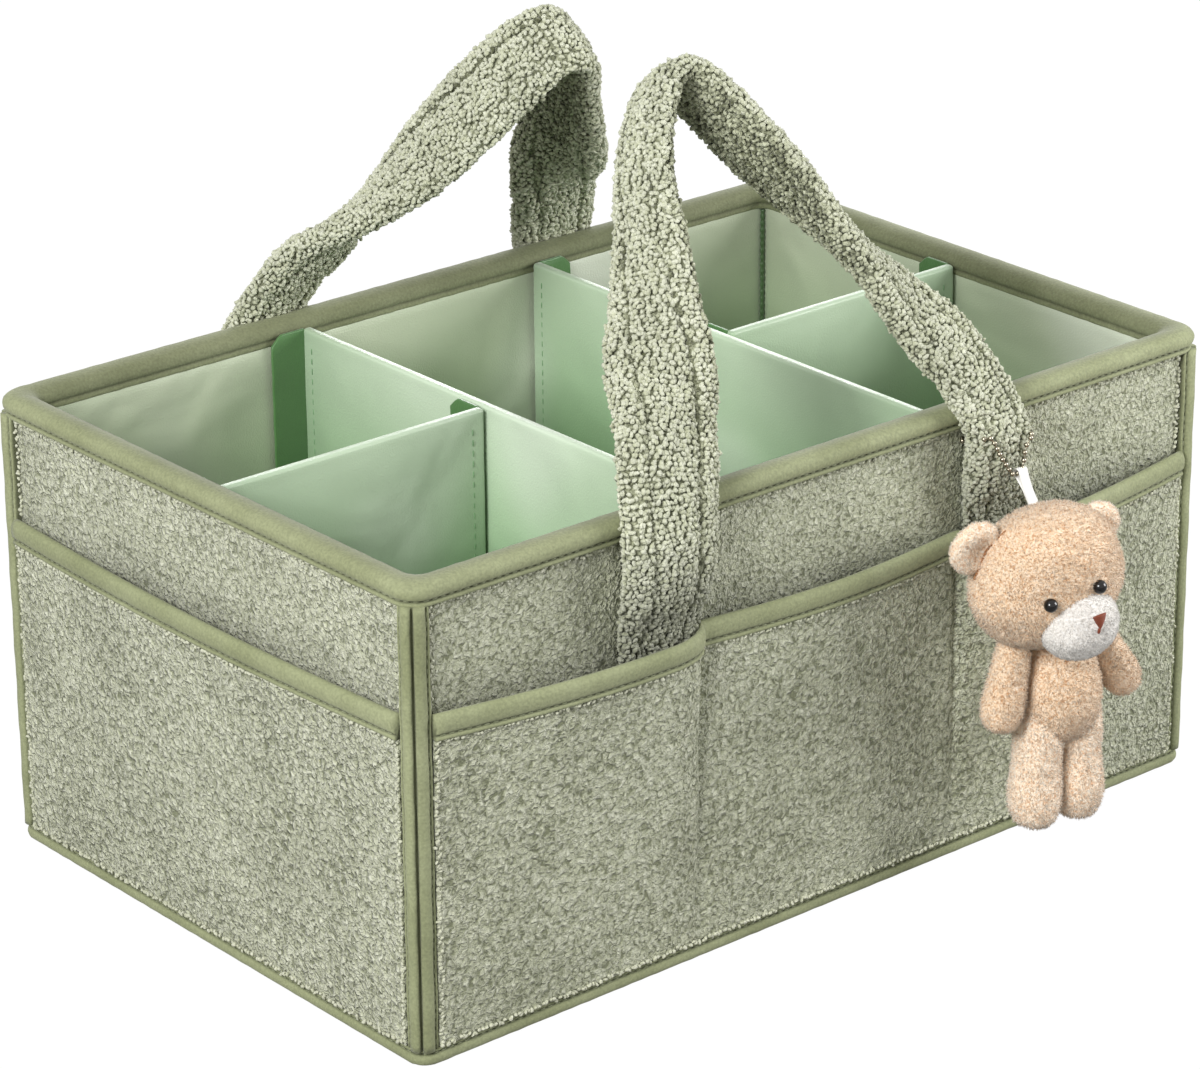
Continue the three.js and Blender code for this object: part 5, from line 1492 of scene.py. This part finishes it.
# %% A small rod with rounded ends, used for threads and stitches
def rods(name, starts, ends, thickness, flat=1.0, upward=None, sides=5):
    """Rods between pairs of points, in millimetres, as one mesh: five rings each, ends drawn in."""
    starts, ends = np.asarray(starts, float), np.asarray(ends, float)
    along = ends - starts
    long = np.linalg.norm(along, axis=1)[:, None]
    along = along / long
    up = (0, 0, 1) if upward is None else upward
    up_way = np.broadcast_to(np.asarray(up, float), along.shape)
    side = np.cross(along, up_way)
    side /= np.maximum(np.linalg.norm(side, axis=1), 1e-9)[:, None]
    top = np.cross(side, along)
    rings = []
    bow = ((0.0, 0.35, -0.3), (0.12, 0.85, 0.0), (0.5, 1.0, 0.12), (0.88, 0.85, 0.0), (1.0, 0.35, -0.3))
    for share, grow, rise in bow:
        for k in range(sides):
            angle = 2 * math.pi * k / sides
            rings.append(starts + along * long * share + top * thickness * rise * 0.5
                         + side * (math.cos(angle) * thickness / 2 * grow)
                         + top * (math.sin(angle) * thickness / 2 * grow * flat))
    faces = []
    for ring in range(4):
        for k in range(sides):
            nxt = (k + 1) % sides
            here, there = ring * sides, (ring + 1) * sides
            faces.append((here + k, here + nxt, there + nxt, there + k))
    caps = [tuple(reversed(range(sides))), tuple(4 * sides + k for k in range(sides))]
    step = 5 * sides
    every = [tuple(v + rod * step for v in face) for rod in range(len(starts)) for face in faces + caps]
    return closed_mesh(name, np.stack(rings, axis=1).reshape(-1, 3), every)


# %% Finishes of thread, bead, ribbon and chain
def plain_finish(name, code, roughness, metallic=0.0, grain=2400.0, bump=0.00006, spread=0.08):
    """A smooth finish with a fine grain and a slight change of shade."""
    finish, tree, place = blank(name)
    fine = effect(tree, weave, place, grain)
    base = put(tree, "ShaderNodeRGB")
    base.outputs[0].default_value = paint(code)
    varied = times(tree, base.outputs[0], stretch(tree, fine["Shade"], 0.3, 0.7, 1 - spread, 1 + spread))
    worn = stretch(tree, fine["Shade"], to_low=roughness * 0.85, to_high=min(roughness * 1.15, 1.0))
    coat(tree, varied, worn, fine["Height"], 0.5, bump, {"Metallic": metallic})
    return finish


nose_thread = plain_finish("nose_thread", "7E3B22", 0.5, spread=0.16)
eye_bead = plain_finish("eye_bead", "0E0B0A", 0.08, bump=0.0)
white_satin = plain_finish("white_satin", "F1F0EC", 0.4, grain=1800.0)
bright_metal = plain_finish("bright_metal", "A39C8B", 0.24, 1.0)

# %% Nose and eyes
nose_front = muzzle_place[1] - muzzle_size / 2
nose_middle = np.array([muzzle_aside + 0.2, nose_front + 0.3, -1.05])
starts, ends = [], []
for share in np.linspace(0, 1, 15):
    half = (5.6 / 2) * (1 - share) ** 0.8 * (0.92 + 0.08 * math.sin(share * 40)) + 0.2
    rise = (0.5 - share) * 5.2
    for sign, bucket in ((-1, starts), (1, ends)):
        sunk = 0.5 * (abs(half) / 3.75) ** 2 + 0.04 * rise ** 2
        bucket.append(nose_middle + np.array([sign * half, sunk - 0.75, rise]))
starts.append(nose_middle + np.array([0.0, -0.3, -3.0]))
ends.append(nose_middle + np.array([0.0, 0.6, -6.0]))
place_nose = at_bear(seat_on_head)
nose_way = place_nose(np.array([[0, -1, 0], [0, 0, 0]], float))
nose_way = nose_way[0] - nose_way[1]
nose = rods("bear_nose_threads", place_nose(np.array(starts)), place_nose(np.array(ends)), 0.95, 1.3,
            nose_way, 8)
dress(nose, nose_thread, "bear", ["bear_nose"], "nose")
eye_aside, eye_radius = 10.4, 2.6
for side, label in ((-1, "left"), (1, "right")):
    bow = math.sqrt(1 - (eye_aside / half_head[0]) ** 2) * half_head[1]
    middle = place_nose(np.array([[side * eye_aside - 1.4, -bow - 0.3, 4.6]]))[0]
    bpy.ops.object.select_all(action="DESELECT")
    bpy.ops.mesh.primitive_uv_sphere_add(segments=28, ring_count=18, radius=1.0)
    eye = bpy.context.active_object
    eye.name = f"bear_{label}_eye_bead"
    set_points(eye, (points_of(eye) * eye_radius + middle) * MM)
    dress(eye, eye_bead, "bear", [f"bear_{label}_eye"], "eyes")

# %% Seams of the ears
# A thread shows where each ear is sewn on, along the side of the head.
ear_thread = plain_finish("ear_thread", "A06E44", 0.8, spread=0.12)
seam_starts, seam_ends = [], []
for side, high, low in ((-1, 23.5, 7.0), (1, 12.5, -3.5)):
    rise = np.linspace(high, low, 12)
    downs, outs = zip(*head_shares)
    reach = np.interp((half_head[2] - rise) / head_size[2], downs, outs) * half_head[0]
    line = place_nose(np.stack([side * reach, np.full(12, 3.6), rise], axis=1))
    seam_starts.append(line[:-1])
    seam_ends.append(line[1:])
ear_seams = rods("bear_ear_seams", np.concatenate(seam_starts), np.concatenate(seam_ends), 1.0, 1.0,
                 nose_way, 6)
dress(ear_seams, ear_thread, "bear", (), "plush")
print("face ready")

# %% [markdown]
# ## Ball chain and ribbon
#
# The chain goes once round the handle's leg just above the pocket. It is a row of steel balls
# with short links between them. The ribbon is a narrow white satin loop that hangs over the chain
# and is sewn in behind the bear's crown.

# %% Ball chain
leg_place, chain_leg_share = handles["front"]["right"], 0.72
ball_radius, ball_step = 1.0, 2.9
clear = ball_radius + 0.25
chain_front = -(half_width + layer_gap + strap_thickness + clear)
chain_behind = -(half_width - tape_proud + clear)
chain_middle = (chain_front + chain_behind) / 2
left_edge = leg_place - chain_leg_share * strap_width / 2 + 2.4
right_edge = leg_place + chain_leg_share * strap_width / 2 - 2.0
back_height = 167.0


def chain_side(edge, height, near_low):
    """Places of the chain from low in front up one edge of the leg and round behind it."""
    inward = -clear if edge == right_edge else clear
    return [
        (near_low, chain_front, chain_low), ((near_low + edge) / 2, chain_front, (chain_low + height) / 2),
        (edge + inward, chain_front, height), (edge, chain_front + clear, height),
        (edge, chain_middle, (height + back_height) / 2), (edge, chain_behind - clear, back_height),
        (edge + inward, chain_behind, back_height),
    ]


chain_points = np.array(
    [(bear_place, chain_front, chain_low), (81.6, chain_front, chain_low + 3.5),
     (82.6, chain_front + 0.4, chain_low + 8.5)]
    + chain_side(right_edge, 167.5, 83.4)[2:]
    + [(leg_place, chain_behind, back_height)] + chain_side(left_edge, 171.5, 76.0)[::-1]
)
fine = []
for k in range(len(chain_points)):
    p0, p1, p2, p3 = (chain_points[(k + j) % len(chain_points)] for j in (-1, 0, 1, 2))
    for t in np.linspace(0, 1, 40, endpoint=False):
        fine.append(smooth_step(p1, p2, 0.25 * (p2 - p0), 0.25 * (p3 - p1), t))
fine = np.array(fine + [fine[0]])
run = run_of(fine)
ball_count = round(run[-1] / ball_step)
stops = (np.arange(ball_count) + 0.5) / ball_count * run[-1]
centres = np.stack([np.interp(stops, run, fine[:, k]) for k in range(3)], axis=1)
ball_points, ball_faces = round_form(bpy.ops.mesh.primitive_uv_sphere_add, segments=14, ring_count=9)
chain = mesh_of(
    "steel_ball_chain", np.concatenate([ball_points * ball_radius + centre for centre in centres]),
    [tuple(v + k * len(ball_points) for v in face) for k in range(ball_count) for face in ball_faces],
)
links = rods("chain_links", centres, np.roll(centres, -1, axis=0), 0.6, 1.0, None, 6)
chain = joined([chain, links])
dress(chain, bright_metal, "caddy", ["ball_chain"], "chain")
print(chain.name, ball_count, "balls")

# %% Ribbon
ribbon_low = np.array([bear_place, chain_front, chain_low])
ribbon_width, ribbon_half_thickness = 4.4, 0.16
ribbon_seat = hang + seat_point
down = ribbon_seat - ribbon_low
down_length = float(np.hypot(down[1], down[2]))
down_way = down / np.linalg.norm(down)
off_way = np.cross(np.array([1.0, 0, 0]), down_way)
loop_radius = clear + 0.3
one_side = []
for k in range(26):
    share = k / 25
    bow = 0.25 + (loop_radius - 0.25) * max(1 - share * 2.4, 0) ** 1.5
    one_side.append((bow, share * down_length))
over_chain = []
for k in range(1, 12):
    angle = math.pi * k / 12
    over_chain.append((-loop_radius * math.cos(angle), -loop_radius * math.sin(angle)))
outline = np.array([(-bow, fall) for bow, fall in one_side[::-1]] + over_chain + one_side)
slopes = np.gradient(outline, axis=0)
slopes /= np.linalg.norm(slopes, axis=1)[:, None]
rings = []
for (off, fall), (slope_off, slope_fall) in zip(outline, slopes):
    centre = ribbon_low + down_way * fall + off_way * off
    normal = off_way * slope_fall - down_way * slope_off
    section = np.array([
        (-1, -1), (-0.4, -1.25), (0.4, -1.25), (1, -1), (1, 1), (0.4, 1.25), (-0.4, 1.25), (-1, 1),
    ]) * (ribbon_width / 2, ribbon_half_thickness)
    rings.append(centre + np.outer(section[:, 0], [1.0, 0, 0]) + np.outer(section[:, 1], normal))
ribbon = carried("white_satin_ribbon", rings)
dress(ribbon, white_satin, "ribbon", ["ribbon_loop"], "ribbon")
print(ribbon.name, "hangs", round(down_length, 1), "mm")

# %% [markdown]
# ## Seams
#
# The tapes are sewn through near an edge, and the dividers have a row beside each end. Each stitch
# is a short rod that dips into the cloth at both ends.

# %% Rows of stitches
def sewn_row(path, normals, pitch=3.4, share=0.62):
    """Start and end points of stitches along a line of points, in millimetres."""
    path, normals = np.asarray(path, float), np.asarray(normals, float)
    run = run_of(path)
    count = max(int(run[-1] / pitch), 1)
    begin = (np.arange(count) + 0.5 * (1 - share)) / count * run[-1]
    finish = begin + share * run[-1] / count

    def at(values, where):
        return np.stack([np.interp(where, run, values[:, k]) for k in range(3)], axis=1)

    return at(path, begin), at(path, finish), at(normals, (begin + finish) / 2)


def seam(name, rows, body, finish, thickness=0.55, slot="tape"):
    """One piece of all the stitches in some rows."""
    starts, ends, ways = (np.concatenate(values) for values in zip(*rows))
    dress(rods(name, starts, ends, thickness, 0.8, ways), finish, body, (), slot)
    print(name, len(starts), "stitches")


def rim_row(inset, height, radius=7.0):
    """A line all round the box at one height, and its outward directions."""
    path, normals = round_rectangle(half_length, half_width, radius, 3.0, inset)
    path = np.vstack([path, path[:1]])
    normals = np.vstack([normals, normals[:1]])
    flat = np.concatenate([path, np.full((len(path), 1), height)], axis=1)
    return flat, np.concatenate([normals, np.zeros((len(path), 1))], axis=1)

# %% Stitches of the tapes
seam("rim_stitches", [sewn_row(*rim_row(0.2, lip_bottom + 1.3, 9.0))], "caddy", stitching)
seam("foot_stitches", [sewn_row(*rim_row(0.2, 4.78))], "caddy", stitching)
rows = []
for sign_x, sign_y in corner_signs.values():
    near, sunk = 6.62, 0.3
    for inset_x, inset_y, way in ((near, sunk, [0, sign_y, 0]), (sunk, near, [sign_x, 0, 0])):
        x, y = sign_x * (half_length - inset_x), sign_y * (half_width - inset_y)
        line = [(x, y, height) for height in np.linspace(fleece_bottom + 1, lip_bottom - 2, 60)]
        rows.append(sewn_row(line, np.tile(way, (60, 1))))
seam("corner_stitches", rows, "caddy", stitching)
rows = []
for wall in walls.values():
    seams, _, _ = pocket_plan(wall)
    stops = np.linspace(seams[0] + 1, seams[-1] - 1, int((seams[-1] - seams[0]) / 3))
    top = mouth_height(wall, stops) - pocket_tape_height + 1.67
    face = pocket_face(wall, stops, top) - 3.3
    out = on_wall(wall, np.zeros(1), np.zeros(1), 0.0)[0]
    out = np.array([out[0], out[1], 0]) / np.linalg.norm(out[:2])
    rows.append(sewn_row(on_wall(wall, stops, face, top), np.tile(out, (len(stops), 1))))
seam("pocket_tape_stitches", rows, "caddy", stitching)

# %% Divider stitches
for divider_name, (reach, place, turn) in dividers.items():
    into_caddy, _ = divider_ways(place, turn)
    rows = []
    for face in (-1, 1):
        way = np.array([-math.sin(turn) * face, math.cos(turn) * face, 0])
        for end in (-1, 1):
            z = np.linspace(divider_bottom + 5, divider_top - 6, 50)
            x = np.full(50, end * (reach - 6))
            y = np.full(50, face * (divider_thickness / 2 + 0.1))
            rows.append(sewn_row(into_caddy(x, y, z), np.tile(way, (50, 1)), 4.0, 0.6))
    seam(f"{divider_name}_divider_stitches", rows, f"{divider_name}_divider", satin_thread, 0.45,
         "divider_satin")

# %% [markdown]
# ## Hidden pieces
#
# The boards inside the walls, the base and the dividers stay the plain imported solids. They are
# stiff parts, and only their finish is added. A strip of webbing stands for each handle's core.

# %% Boards and cores
grey_board = tape_finish("grey_board", "A79C86", "B4A993", 700.0, 0.0001)
white_foam = tape_finish("white_foam", "D9D6CC", "E4E1D8", 900.0, 0.0002)
for handle_name, webbing in webbing_pieces.items():
    dress(webbing, white_foam, f"{handle_name}_handle", [f"{handle_name}_handle_core"], "core")
for node_name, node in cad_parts.items():
    if node_name.endswith("_board"):
        node.data.materials.clear()
        node.data.materials.append(grey_board)
